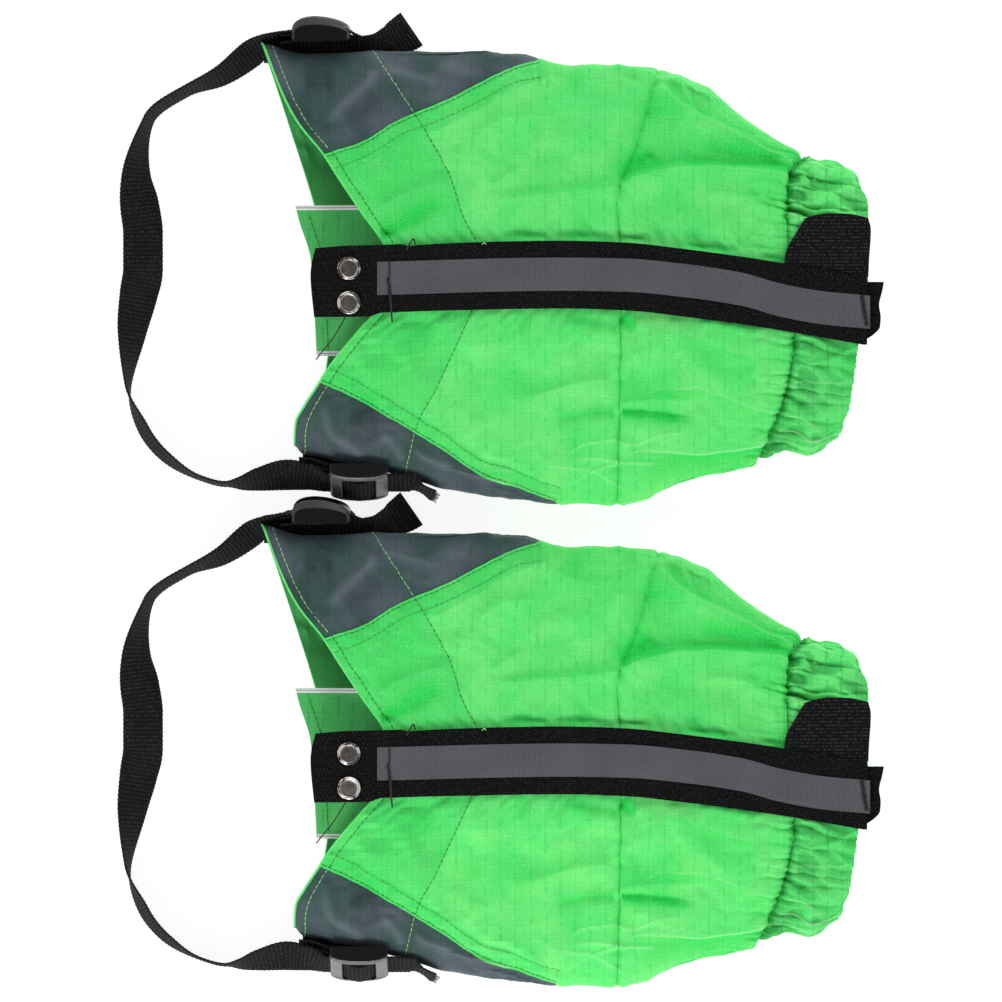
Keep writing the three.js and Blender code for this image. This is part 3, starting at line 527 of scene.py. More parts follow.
def press(x, angle, base):
    """How far the fabric stands out of the plain sleeve, how much painted shade deepens its colour, and how
    much it whitens, partly as painted highlight.
    """
    shape = x.shape
    x, angle = x.ravel(), angle.ravel()
    base = base.reshape(-1, 3)
    plan, upper = base[:, :2], np.sin(angle) > -0.02
    arc = arc_length(x, angle)
    height, dark, pale = np.zeros((3, len(x)))
    for fold in FOLDS:
        fold.add_to(plan, upper, height, dark, pale)
    for part in (crumpled(x, arc), gathered_cuff(x, np.cos(angle), arc), pressed_seams(x, angle, arc)):
        for total, added in zip((height, dark, pale), part):
            total += added

    # flat under the closure tape and the pull tab, and on the ground
    from_line = plan[:, 1] - closure_line(x)
    under_tape = smoothstep(TAPE_HALF + 1.5 - np.abs(from_line), 0, 5) * upper
    height = height * (1 - 0.92 * under_tape * (x > STUCK_FROM))
    valley = tape_valley(x, from_line) * upper
    height -= 1.5 * valley * smoothstep(150 - x, 0, 20)
    # painted shade in the valley along the tape's edge
    dark += 0.7 * valley
    in_tab = smoothstep(x, TAB_START, TAB_START + 6) * smoothstep(TAB_WIDTH - from_line, 0, 4)
    height = height * (1 - 0.96 * in_tab * (from_line > 0) * upper)
    resting = smoothstep(2.5 - base[:, 2], 0, 2.5) * ~upper
    height = np.where(resting > 0, np.minimum(height, 0) * (1 - 0.55 * resting), height)
    height = np.clip(height, DEEPEST, HIGHEST)
    return height.reshape(shape), np.clip(dark, 0, 1).reshape(shape), np.clip(pale, 0, 1).reshape(shape)


OUTER_SLOPE, INNER_SLOPE = 0.72, 0.80  # the seams run slanting, so the way across them is shorter


def turned_to_front(angle):
    """The same angle between a quarter turn before the outer fold and three quarters after it."""
    return (angle + np.pi / 2) % TURN - np.pi / 2


def seam_distance(x, angle):
    """Distance along the surface from the nearest side panel's upper seam, above 0 on the front panel."""
    here = arc_length(x, turned_to_front(angle))
    past_outer = here - arc_length(x, outer_seam(x))
    past_inner = arc_length(x, np.pi - inner_seam(x)) - here
    return np.where(np.cos(angle) >= 0, OUTER_SLOPE * past_outer, INNER_SLOPE * past_inner)


PUFF = None  # the simulated sleeve's offsets, filled in below


def puffed(x, angle):
    if PUFF is None:
        return 0.0
    start, end = hem(angle), cuff_end(np.cos(angle))
    along = np.clip((x - start) / (end - start), 0, 1) * (PUFF.shape[0] - 1)
    around = ((angle - CLOSURE) % TURN) / TURN * (PUFF.shape[1] - 1)
    return bilinear(PUFF, along, around)


def surface(x, angle, lift=0.0, inset=0.0):
    """A point of the finished sleeve; lift is away from the fabric's face, inset is into the sleeve."""
    x, angle = np.broadcast_arrays(np.asarray(x, float), np.asarray(angle, float))
    base = shell_point(x, angle, inset)
    height, _, _ = press(x, angle, base)
    point = base + puffed(x, angle) + shell_normal(x, angle) * (height + lift)[..., None]
    point[..., 2] = np.maximum(point[..., 2], 0.05 + np.maximum(0, -np.asarray(lift)))
    return point


# ---- Cloth simulation: the sleeve swells and wrinkles between its seams ----
PUFF_STATIONS, PUFF_ANGLES = 64, 144
PUFF_FRAMES = 22
PUFF_LIMIT = 5.0  # mm that a point may move


def sleeve_grid(stations, angles):
    u, v = np.meshgrid(np.linspace(0, 1, stations), np.linspace(0, 1, angles), indexing="ij")
    angle = CLOSURE + TURN * v
    start, end = hem(angle), cuff_end(np.cos(angle))
    return start + (end - start) * u, angle


def hold_weights(x, angle, base):
    """How firmly each point is held: 1 at the seams, the closure and the ground, 0 in a free panel."""
    across, upper = np.cos(angle), np.sin(angle) > 0
    held = bell(x - hem(angle), 5)
    held = np.maximum(held, bell(x - cuff_seam(across), 3.5))
    held = np.maximum(held, bell(x - cuff_end(across), 5))
    held = np.maximum(held, 0.75 * bell(x - middle_seam(across), 2.5))
    held = np.maximum(held, 0.8 * bell(seam_distance(x, angle), 3.5) * (x < SIDE_END))
    from_line = np.abs(base[..., 1] - closure_line(x))
    held = np.maximum(held, smoothstep(24 - from_line, 0, 6) * upper)
    held = np.maximum(held, smoothstep(x, TAB_START - 6, TAB_START) * (from_line < TAB_WIDTH) * upper)
    held = np.maximum(held, smoothstep(1.5 - base[..., 2], 0, 1.5) * ~upper)
    return np.clip(held, 0, 1)


CLOTH_SETTINGS = dict(
    quality=6, mass=0.08, tension_stiffness=12, compression_stiffness=12, shear_stiffness=4,
    bending_stiffness=0.12, vertex_group_mass="held", pin_stiffness=1.0, use_pressure=True,
    uniform_pressure_force=2.0, shrink_min=-0.045, air_damping=3)


def run_cloth(points, quads, weights):
    """Where the points of a pinned cloth, in metres, end up."""
    mesh = bpy.data.meshes.new("sleeve_cloth")
    mesh.from_pydata(points.tolist(), [], quads.tolist())
    cloth_object = add_object("sleeve_cloth", mesh)
    group = cloth_object.vertex_groups.new(name="held")
    for index, weight in enumerate(weights.tolist()):
        group.add([index], weight, "REPLACE")
    cloth = cloth_object.modifiers.new("Cloth", "CLOTH")
    for key, value in CLOTH_SETTINGS.items():
        setattr(cloth.settings, key, value)
    cloth.settings.effector_weights.gravity = 0
    cloth.collision_settings.use_collision = False
    cloth.point_cache.frame_start, cloth.point_cache.frame_end = 1, PUFF_FRAMES
    scene = bpy.context.scene
    for step in range(1, PUFF_FRAMES + 1):
        scene.frame_set(step)
    settled = cloth_object.evaluated_get(bpy.context.evaluated_depsgraph_get()).to_mesh()
    moved = np.empty(points.size)
    settled.vertices.foreach_get("co", moved)
    bpy.data.objects.remove(cloth_object)
    scene.frame_set(1)
    return moved.reshape(-1, 3)


def simulate_sleeve():
    """Offsets in mm, over (stations, angles), of the sleeve's fabric after it swells a little."""
    x, angle = sleeve_grid(PUFF_STATIONS, PUFF_ANGLES)
    base = shell_point(x, angle)
    around = PUFF_ANGLES - 1
    points = base[:, :-1].reshape(-1, 3) * 0.001
    weights = hold_weights(x, angle, base)[:, :-1].ravel()
    offset = (run_cloth(points, ring_quads(PUFF_STATIONS, around), weights) - points) * 1000
    length = np.linalg.norm(offset, axis=1, keepdims=True)
    offset *= PUFF_LIMIT * np.tanh(length / PUFF_LIMIT) / np.maximum(length, 1e-6)
    offset = offset.reshape(PUFF_STATIONS, around, 3)

    # the rounded folds at the sides may swell but not sink
    normal = shell_normal(x, angle)[:, :-1]
    sunk = np.minimum(np.einsum("ijk,ijk->ij", offset, normal), 0)
    on_fold = smoothstep(np.abs(np.cos(angle[:, :-1])), 0.55, 0.9)
    offset -= (sunk * on_fold)[..., None] * normal
    return np.concatenate([offset, offset[:, :1]], axis=1)


PUFF = simulate_sleeve()


# ---- Meshes ----
SHARP_ANGLE, MOULDED_SHARP_ANGLE, BEVELLED_FROM = (math.radians(angle) for angle in (55, 40, 35))


def add_finishes(mesh, finishes):
    for finish in finishes:
        mesh.materials.append(finish)


def new_mesh(name, points, faces, coords, numbers=None, finishes=()):
    """A smooth mesh in mm of (n, 3) points and (m, 4) faces.

    coords is an (n, 2) layer in mm for the weave; numbers are named values for each point.
    """
    points, faces = np.asarray(points, float), np.asarray(faces, np.int32)
    first, second, third, fourth = points[faces].transpose(1, 0, 2)
    volume = np.sum(first * np.cross(second, third)) + np.sum(first * np.cross(third, fourth))
    if volume < 0:
        faces = faces[:, ::-1]
    mesh = bpy.data.meshes.new(name)
    mesh.vertices.add(len(points))
    mesh.vertices.foreach_set("co", points.astype(np.float32).ravel())
    mesh.loops.add(faces.size)
    mesh.loops.foreach_set("vertex_index", faces.ravel().astype(np.int32))
    mesh.polygons.add(len(faces))
    mesh.polygons.foreach_set("loop_start", np.arange(0, faces.size, 4, dtype=np.int32))
    mesh.update(calc_edges=True)
    mesh.polygons.foreach_set("use_smooth", np.ones(len(faces), bool))
    layer = mesh.uv_layers.new(name="weave")
    layer.data.foreach_set("uv", np.asarray(coords, np.float32)[faces.ravel()].ravel())
    for key, values in (numbers or {}).items():
        attribute = mesh.attributes.new(key, "FLOAT", "POINT")
        attribute.data.foreach_set("value", np.asarray(values, np.float32).ravel())
    add_finishes(mesh, finishes)
    mesh.set_sharp_from_angle(angle=SHARP_ANGLE)
    mesh.validate()
    return mesh


def grid_faces(columns, rows):
    i, j = np.meshgrid(np.arange(columns - 1), np.arange(rows - 1), indexing="ij")
    a = i * rows + j
    return np.stack([a, a + rows, a + rows + 1, a + 1], axis=-1).reshape(-1, 4)


def sheet(name, outer, inner, coords, numbers=None, finishes=()):
    """A closed solid between two grids of points, each (columns, rows, 3)."""
    columns, rows = outer.shape[:2]
    count = columns * rows
    index = np.arange(count).reshape(columns, rows)
    faces = grid_faces(columns, rows)
    edge = np.concatenate([index[:, 0], index[-1, 1:], index[-2::-1, -1], index[0, -2:0:-1]])
    after = np.roll(edge, -1)
    rim = np.stack([edge, edge + count, after + count, after], axis=-1)
    everything = np.concatenate([faces, faces[:, ::-1] + count, rim])
    points = np.concatenate([outer.reshape(-1, 3), inner.reshape(-1, 3)])
    both = {key: np.tile(np.asarray(values).ravel(), 2) for key, values in (numbers or {}).items()}
    return new_mesh(name, points, everything, np.tile(coords.reshape(-1, 2), (2, 1)), both, finishes)


def joined(parts):
    """Points and faces of several (points, faces) pairs together."""
    shifts = np.cumsum([0] + [len(points) for points, _ in parts[:-1]])
    moved_on = [faces + shift for (_, faces), shift in zip(parts, shifts)]
    return np.concatenate([points for points, _ in parts]), np.concatenate(moved_on)


def merged(name, parts, finishes):
    """One mesh from several (points, faces) pairs."""
    points, faces = joined(parts)
    return new_mesh(name, points, faces, points[:, :2], None, finishes)


def tube(path, radius, sides=8, up=(0.0, 0.0, 1.0)):
    """Points and faces of a round cord along path (n, 3); radius may vary along it."""
    path = np.asarray(path, float)
    tangent = unit(np.gradient(path, axis=0))
    side = unit(np.cross(tangent, np.broadcast_to(np.asarray(up, float), tangent.shape)))
    top = np.cross(side, tangent)
    turn = np.linspace(0, TURN, sides, endpoint=False)
    ring = np.cos(turn)[:, None] * side[:, None] + np.sin(turn)[:, None] * top[:, None]
    points = path[:, None] + ring * np.broadcast_to(np.asarray(radius, float), len(path))[:, None, None]
    return points.reshape(-1, 3), closed_tube(len(path), sides)


STITCH_RINGS = np.linspace(0, 1, 6)
STITCH_TAPER = np.array([0.5, 0.9, 1, 1, 0.9, 0.5])
STITCH_SIDES, STITCH_STEPS = 6, 8  # faces round a thread, and points of the path to a stitch
STITCH_PROUD = 0.12  # how far a stitch arches out of the fabric


def stitch_parts(path, normal, pitch, share, radius):
    """Points and faces of a row of stitches: short threads that dip into the fabric at both ends."""
    both = resample(np.concatenate([path, normal], axis=1), pitch / STITCH_STEPS)
    path, normal = both[:, :3], unit(both[:, 3:])
    count = (len(path) - 1) // STITCH_STEPS
    if count < 1:
        return []
    at = (np.arange(count)[:, None] + 0.5 * (1 - share) + share * STITCH_RINGS[None, :]) * STITCH_STEPS
    steps = np.arange(len(path))
    centre, up = (np.stack([np.interp(at, steps, column) for column in values.T], axis=-1)
                  for values in (path, normal))
    up = unit(up)
    arch = np.sin(np.pi * STITCH_RINGS)[None, :, None]
    centre = centre + up * (STITCH_PROUD * arch - 0.6 * radius)
    tangent = unit(np.gradient(centre, axis=1))
    side = unit(np.cross(tangent, up))
    turn = np.linspace(0, TURN, STITCH_SIDES, endpoint=False)
    ring = np.cos(turn)[:, None] * side[:, :, None] + np.sin(turn)[:, None] * up[:, :, None]
    thick = radius * STITCH_TAPER[None, :, None, None]
    points = centre[:, :, None] + ring * thick
    rings = len(STITCH_RINGS)
    starts = np.arange(count)[:, None, None] * rings * STITCH_SIDES
    faces = closed_tube(rings, STITCH_SIDES)[None] + starts
    return [(points.reshape(-1, 3), faces.reshape(-1, 4))]


# ---- Materials ----
def srgb(red, green, blue):
    """A linear colour from 0 to 255 screen values."""
    channels = np.array([red, green, blue]) / 255.0
    linear = np.where(channels <= 0.04045, channels / 12.92, ((channels + 0.055) / 1.055) ** 2.4)
    return (*linear.tolist(), 1.0)


class Finish:
    """A node material, with short names for the nodes that the patterns here are made of."""

    def __init__(self, name, roughness, metallic=0.0, sheen=0.0, specular=0.4):
        self.material = bpy.data.materials.new(name)
        self.material.use_nodes = True
        self.tree = self.material.node_tree
        self.surface = self.tree.nodes["Principled BSDF"]
        self.surface.inputs["Roughness"].default_value = roughness
        self.surface.inputs["Metallic"].default_value = metallic
        self.surface.inputs["Sheen Weight"].default_value = sheen
        self.surface.inputs["Specular IOR Level"].default_value = specular

    def feed(self, socket, value):
        if isinstance(value, bpy.types.NodeSocket):
            self.tree.links.new(value, socket)
        elif value is not None:
            socket.default_value = value

    def put(self, kind, *values, out=0, **settings):
        node = self.tree.nodes.new("ShaderNode" + kind)
        for key, value in settings.items():
            setattr(node, key, value)
        for socket, value in zip(node.inputs, values):
            self.feed(socket, value)
        return node.outputs[out]

    def math(self, operation, *values):
        return self.put("Math", *values, operation=operation)

    def weave(self):
        """The fabric's own layer: a place in it, and the two distances in mm."""
        place = self.put("UVMap", uv_map="weave")
        x = self.put("SeparateXYZ", place)
        return place, x, x.node.outputs[1]

    def object_place(self):
        """Position in mm."""
        place = self.put("TexCoord", out=3)
        return self.put("VectorMath", place, (1000.0, 1000.0, 1000.0), operation="MULTIPLY")

    def number(self, name):
        return self.put("Attribute", attribute_name=name, out=2)

    def noise(self, place, size, detail=2.0, stretch=(1.0, 1.0, 1.0)):
        """Noise about 0.5 whose features measure size mm."""
        scale = tuple(part / size for part in stretch)
        scaled = self.put("VectorMath", place, scale, operation="MULTIPLY")
        node = self.tree.nodes.new("ShaderNodeTexNoise")
        self.feed(node.inputs["Vector"], scaled)
        node.inputs["Scale"].default_value = 1.0
        node.inputs["Detail"].default_value = detail
        return node.outputs[0]

    def range(self, value, low, high, to_low=0.0, to_high=1.0):
        return self.put("MapRange", value, low, high, to_low, to_high, interpolation_type="SMOOTHSTEP")

    def line(self, value, pitch, width):
        """1 on lines a pitch apart, 0 beyond width from them."""
        return self.range(self.math("PINGPONG", value, pitch / 2), 0.0, width, 1.0, 0.0)

    def mix(self, amount, first, second):
        node = self.tree.nodes.new("ShaderNodeMix")
        node.data_type = "RGBA"
        self.feed(node.inputs[0], amount)
        self.feed(node.inputs[6], first)
        self.feed(node.inputs[7], second)
        return node.outputs[2]

    def scaled(self, value, amount):
        return self.math("MULTIPLY", value, amount)

    def finish(self, color, height=None, depth=0.1, roughness=None):
        """Joins up the colour, a bump whose height is 0 to 1 for depth mm, and a roughness."""
        self.feed(self.surface.inputs["Base Color"], color)
        self.feed(self.surface.inputs["Roughness"], roughness)
        if height is not None:
            bump = self.tree.nodes.new("ShaderNodeBump")
            bump.inputs["Strength"].default_value = 1.0
            bump.inputs["Distance"].default_value = depth / 1000
            self.feed(bump.inputs["Height"], height)
            self.feed(self.surface.inputs["Normal"], bump.outputs[0])
        return self.material


GRID_PITCH = 7.4  # between the reinforcing threads of the ripstop
YARN = 0.62  # between its yarns


def ripstop(name, light, other, doubled, deep, thread, gap, contrast=1.0, roughness=0.62):
    """Ripstop nylon: a fine weave with a grid of thicker threads, darker where it is doubled.

    Its colours are two for the ground, then doubled cloth, the painted shade of a fold (also used for the
    weave's darker grain), the thicker threads (also used for whitened creases and painted highlights),
    and the gaps beside them.
    """
    f = Finish(name, roughness, sheen=0.1, specular=0.22)
    place, x, y = f.weave()
    wander = f.math("SUBTRACT", f.noise(place, 30.0), 0.5)
    x = f.math("ADD", x, f.scaled(wander, 2.2))
    y = f.math("ADD", y, f.scaled(wander, -2.2))
    broad = f.range(f.noise(place, 34.0, 3.0), 0.36, 0.64)
    squares = f.range(f.noise(place, 7.0, 0.0), 0.45, 0.7, 0.0, 0.5)
    color = f.mix(broad, light, other)
    color = f.mix(f.scaled(squares, 0.5 * contrast), color, doubled)
    layers = f.math("MULTIPLY", f.number("layers"), f.range(f.noise(place, 20.0), 0.2, 0.8, 0.75, 1.0))
    color = f.mix(layers, color, doubled)
    # painted shade of the folds
    color = f.mix(f.number("dark"), color, deep)

    # across the sleeve: soft broken darker threads between two pale ones; along it: fainter ones
    faded = f.range(f.noise(place, 18.0, 1.0), 0.32, 0.62, 0.3, 1.0)
    broken_x = f.range(f.noise(place, 2.6, 1.0, (1.0, 0.55, 1.0)), 0.4, 0.56)
    broken_y = f.range(f.noise(place, 2.6, 1.0, (0.55, 1.0, 1.0)), 0.46, 0.6)
    from_x, from_y = f.math("PINGPONG", x, GRID_PITCH / 2), f.math("PINGPONG", y, GRID_PITCH / 2)
    across_line, along_line = f.range(from_x, 0.2, 1.3, 1.0, 0.0), f.range(from_y, 0.2, 0.75, 1.0, 0.0)
    dashes = f.math("MULTIPLY", f.math("MULTIPLY", across_line, broken_x), faded)
    faint = f.math("MULTIPLY", f.math("MULTIPLY", along_line, broken_y), faded)
    pair_x = f.range(f.math("ABSOLUTE", f.math("SUBTRACT", from_x, 1.15)), 0.1, 0.5, 1.0, 0.0)
    pair_y = f.range(f.math("ABSOLUTE", f.math("SUBTRACT", from_y, 0.9)), 0.1, 0.4, 1.0, 0.0)
    pair = f.math("MULTIPLY", f.math("MAXIMUM", pair_x, pair_y), f.math("SUBTRACT", 1.2, faded))
    color = f.mix(f.scaled(dashes, 0.5 * contrast), color, gap)
    color = f.mix(f.scaled(faint, 0.2 * contrast), color, gap)
    color = f.mix(f.scaled(pair, 0.12 * contrast), color, thread)

    # the weave itself, as grain that runs both ways
    grain_x = f.noise(place, YARN, 1.0, (1.0, 0.45, 1.0))
    grain_y = f.noise(place, YARN, 1.0, (0.45, 1.0, 1.0))
    grain = f.math("MULTIPLY", f.math("ADD", grain_x, grain_y), 0.5)
    color = f.mix(f.range(grain, 0.5, 0.7, 0.0, 0.17 * contrast), color, thread)
    color = f.mix(f.range(grain, 0.5, 0.3, 0.0, 0.26 * contrast), color, deep)
    # whitened creases and painted highlights, from the pale value
    color = f.mix(f.scaled(f.number("pale"), 0.75), color, thread)
    fine = f.math("MULTIPLY", f.line(x, YARN, 0.3), f.line(y, YARN, 0.3))
    height = f.math("ADD", f.scaled(grain, 0.7), f.scaled(fine, 0.3))
    height = f.math("ADD", height, f.scaled(f.math("MAXIMUM", across_line, along_line), 0.16))
    return f.finish(color, height, 0.12, f.range(broad, 0.0, 1.0, roughness - 0.06, roughness + 0.08))


def make_hook_and_loop():
    """Black woven loop tape: slanted rows of tiny pale flecks on a matt ground."""
    f = Finish("hook_and_loop_black", 0.95, specular=0.08)
    place, x, y = f.weave()
    slant = f.math("ADD", x, f.scaled(y, 0.55))
    rows = f.line(slant, 1.9, 0.62)
    dots = f.line(y, 1.15, 0.42)
    missing = f.range(f.noise(place, 1.5, 1.0), 0.42, 0.62)
    flecks = f.math("MULTIPLY", f.math("MULTIPLY", rows, dots), missing)
    fuzz = f.noise(place, 0.55, 2.0)
    worn = f.range(f.noise(place, 24.0, 2.0), 0.35, 0.75)
    color = f.mix(fuzz, srgb(4, 4, 5), srgb(20, 20, 21))
    color = f.mix(f.scaled(worn, 0.2), color, srgb(26, 25, 25))
    color = f.mix(f.scaled(flecks, 0.5), color, srgb(88, 85, 85))
    height = f.math("ADD", f.scaled(fuzz, 0.8), f.scaled(f.math("MULTIPLY", rows, dots), 0.7))
    return f.finish(color, height, 0.3)


def make_knit():
    """Black knit of the pull tab: curved rows of small pale loops."""
    f = Finish("knit_black", 0.92, specular=0.1)
    place, x, y = f.weave()
    bow = f.math("ADD", x, f.scaled(f.math("SINE", f.scaled(y, 0.11)), 2.4))
    loops = f.math("MULTIPLY", f.line(bow, 1.3, 0.55), f.line(y, 1.7, 0.5))
    kept = f.range(f.noise(place, 1.9, 1.0), 0.4, 0.6)
    fuzz = f.noise(place, 0.7, 2.0)
    color = f.mix(fuzz, srgb(5, 5, 6), srgb(23, 23, 25))
    color = f.mix(f.math("MULTIPLY", f.scaled(loops, 0.7), kept), color, srgb(100, 97, 97))
    height = f.math("ADD", f.scaled(loops, 0.8), f.scaled(fuzz, 0.5))
    return f.finish(color, height, 0.3)


def make_webbing():
    """Coarse black webbing: cross ribs of bundled yarn with worn pale flecks."""
    f = Finish("webbing_black", 0.8, specular=0.12)
    place, x, y = f.weave()
    rib = f.line(x, 2.1, 1.05)
    yarn = f.line(f.math("ADD", y, f.scaled(f.line(x, 4.2, 2.1), 0.8)), 1.6, 0.8)
    flecks = f.math("MULTIPLY", f.math("MULTIPLY", rib, yarn), f.range(f.noise(place, 1.6, 1.0), 0.45, 0.65))
    strands = f.noise(place, 0.45, 2.0, (1.0, 0.3, 1.0))
    worn = f.range(f.noise(place, 42.0, 2.0), 0.4, 0.66)
    color = f.mix(rib, srgb(4, 4, 5), srgb(27, 27, 28))
    color = f.mix(f.scaled(strands, 0.5), color, srgb(15, 15, 16))
    color = f.mix(f.scaled(flecks, 0.42), color, srgb(82, 82, 84))
    color = f.mix(f.scaled(worn, 0.22), color, srgb(44, 44, 46))
    height = f.math("ADD", f.scaled(rib, 0.6), f.math("ADD", f.scaled(yarn, 0.35), f.scaled(strands, 0.3)))
    return f.finish(color, height, 0.28)


def make_reflective():
    """Gray reflective tape with fine cross ribs and a faint blotch."""
    f = Finish("reflective_gray", 0.55, specular=0.2)
    place, x, _ = f.weave()
    speckle = f.noise(place, 0.5, 2.0)
    blotch = f.range(f.noise(place, 22.0, 3.0), 0.35, 0.65)
    slub = f.math("ADD", x, f.scaled(f.noise(place, 3.0, 1.0, (0.3, 1.0, 1.0)), 0.8))
    rib = f.line(slub, 1.12, 0.56)
    color = f.mix(blotch, srgb(70, 69, 74), srgb(79, 77, 82))
    color = f.mix(f.scaled(rib, 0.5), color, srgb(96, 95, 101))
    color = f.mix(f.range(speckle, 0.52, 0.7, 0.0, 0.6), color, srgb(118, 118, 124))
    color = f.mix(f.range(speckle, 0.48, 0.3, 0.0, 0.6), color, srgb(48, 47, 52))
    height = f.math("ADD", f.scaled(rib, 0.5), f.scaled(speckle, 0.4))
    return f.finish(color, height, 0.14, f.range(speckle, 0.2, 0.8, 0.4, 0.6))


def make_binding():
    """White woven edge binding with a thin gray stripe along its middle."""
    f = Finish("edge_binding", 0.6, specular=0.3)
    place, x, y = f.weave()
    stripe = f.range(f.math("ABSOLUTE", y), 0.12, 0.4, 1.0, 0.0)
    rib = f.line(x, 0.9, 0.45)
    grime = f.range(f.noise(place, 9.0, 3.0), 0.4, 0.7)
    color = f.mix(f.scaled(grime, 0.35), srgb(232, 236, 234), srgb(186, 206, 194))
    color = f.mix(f.scaled(rib, 0.2), color, srgb(206, 212, 208))
    color = f.mix(f.scaled(stripe, 0.75), color, srgb(112, 132, 122))
    return f.finish(color, rib, 0.12)


def make_elastic():
    """White braided elastic: long ribs with slanting yarns between them."""
    f = Finish("elastic_white", 0.8, specular=0.25)
    _, x, y = f.weave()
    rib = f.line(x, 2.0, 1.0)
    slant = f.line(f.math("ADD", y, x), 1.3, 0.6)
    color = f.mix(rib, srgb(196, 192, 184), srgb(232, 230, 224))
    color = f.mix(f.scaled(slant, 0.3), color, srgb(214, 210, 202))
    return f.finish(color, f.math("ADD", f.scaled(rib, 0.7), f.scaled(slant, 0.3)), 0.3)


def moulded_plastic(name, ground, worn, roughness, specular):
    """Moulded black acetal: fine grain, faint scuffs, paler on its sharp outward edges."""
    f = Finish(name, roughness, specular=specular)
    place = f.object_place()
    grain = f.noise(place, 0.35, 2.0)
    scuff = f.range(f.noise(place, 2.2, 4.0, (0.35, 1.0, 1.0)), 0.56, 0.7)
    edge = f.range(f.put("NewGeometry", out=7), 0.53, 0.6)
    color = f.mix(f.scaled(scuff, 0.35), ground, worn)
    color = f.mix(f.scaled(edge, 0.3), color, srgb(66, 67, 71))
    low, high = roughness - 0.06, roughness + 0.06
    rough = f.math("ADD", f.range(grain, 0.3, 0.7, low, high), f.scaled(scuff, 0.15))
    return f.finish(color, f.math("ADD", grain, f.scaled(scuff, 0.4)), 0.03, rough)


def make_gunmetal():
    """Dark nickel plate: a polished rim, and a face with fine scratches and rubbed spots."""
    f = Finish("gunmetal", 0.2, metallic=1.0)
    place = f.object_place()
    scratch = f.noise(place, 0.5, 3.0, (0.12, 1.0, 1.0))
    rubbed = f.range(f.noise(place, 2.4, 3.0), 0.4, 0.65)
    color = f.mix(rubbed, srgb(112, 107, 102), srgb(158, 152, 146))
    color = f.mix(f.range(scratch, 0.58, 0.75, 0.0, 0.4), color, srgb(200, 196, 190))
    rough = f.math("ADD", f.range(rubbed, 0.0, 1.0, 0.3, 0.2), f.scaled(scratch, 0.12))
    return f.finish(color, scratch, 0.02, rough)


def make_bright_rim():
    """Nickel of the rivets' rims, bright in some patches and much darker in others."""
    f = Finish("nickel_rim", 0.16, metallic=1.0)
    place = f.object_place()
    rim_patches = f.noise(place, 3.4, 2.0)
    color = f.mix(f.range(rim_patches, 0.44, 0.6), srgb(84, 80, 77), srgb(222, 216, 212))
    return f.finish(color, rim_patches, 0.015, f.range(rim_patches, 0.3, 0.7, 0.12, 0.26))


def make_thread(name, light, dark, roughness=0.6):
    """Twisted sewing thread: slanting plies along it."""
    f = Finish(name, roughness, sheen=0.1, specular=0.35)
    place = f.object_place()
    plies = f.noise(place, 0.35, 1.0, (1.0, 0.5, 1.0))
    patch = f.range(f.noise(place, 6.0), 0.35, 0.65)
    color = f.mix(f.range(plies, 0.35, 0.65), dark, light)
    color = f.mix(f.scaled(patch, 0.3), color, dark)
    return f.finish(color, plies, 0.08)


GREEN = ripstop(
    "ripstop_green", srgb(107, 229, 116), srgb(84, 226, 110), srgb(66, 214, 98), srgb(14, 206, 74),
    srgb(176, 246, 174), srgb(30, 208, 88))
# a darker copy of the green for the hem facing inside the opening: painted shade
SHADED_GREEN = ripstop(
    "ripstop_green_double", srgb(72, 172, 88), srgb(60, 160, 82), srgb(52, 146, 74),
    srgb(30, 118, 56), srgb(128, 206, 132), srgb(34, 116, 58), 0.7)
# the cuff's copy of the green: a little brighter, with a much deeper painted shade for its creases
CUFF_GREEN = ripstop(
    "ripstop_green_cuff", srgb(110, 240, 124), srgb(82, 232, 110), srgb(70, 220, 102), srgb(4, 146, 52),
    srgb(170, 238, 170), srgb(40, 164, 78))
# a darker copy of the green for the tongue under the closure: painted shade
UNDERLAP_SHADED_GREEN = ripstop(
    "ripstop_green_underlap_painted_shade", srgb(76, 190, 94), srgb(66, 178, 90), srgb(58, 170, 85),
    srgb(38, 140, 66), srgb(140, 216, 140), srgb(36, 122, 62), 0.8)
GRAY = ripstop(
    "side_gray", srgb(76, 86, 96), srgb(44, 74, 68), srgb(58, 66, 76), srgb(32, 50, 52),
    srgb(124, 134, 144), srgb(40, 50, 58), 0.6, 0.56)
LOOP_TAPE = make_hook_and_loop()
KNIT = make_knit()
WEBBING = make_webbing()
REFLECTIVE = make_reflective()
BINDING = make_binding()
ELASTIC = make_elastic()
PLASTIC = moulded_plastic("buckle_plastic", srgb(30, 30, 33), srgb(52, 52, 56), 0.4, 0.5)
# darker copy for the buckles' cheek side faces: painted shade; paler, glossier copy for their faces that look
# up and away: painted highlight
PLASTIC_SHADED = moulded_plastic("buckle_plastic_painted_shade", srgb(7, 7, 9), srgb(20, 20, 23), 0.62, 0.15)
PLASTIC_LIT = moulded_plastic("buckle_plastic_painted_highlight", srgb(84, 84, 88), srgb(120, 120, 124), 0.3, 0.8)
GUNMETAL = make_gunmetal()
RIM = make_bright_rim()
DARK_THREAD = make_thread("thread_dark_green", srgb(46, 120, 46), srgb(22, 78, 32))
SOFT_THREAD = make_thread("thread_olive_green", srgb(84, 168, 76), srgb(56, 138, 62))
SEAM_CREASE = make_thread("seam_crease_green", srgb(58, 200, 92), srgb(28, 168, 74))
PALE_THREAD = make_thread("thread_pale_green", srgb(178, 240, 160), srgb(110, 196, 104))
BLACK_THREAD = make_thread("thread_black", srgb(34, 34, 36), srgb(12, 12, 13))
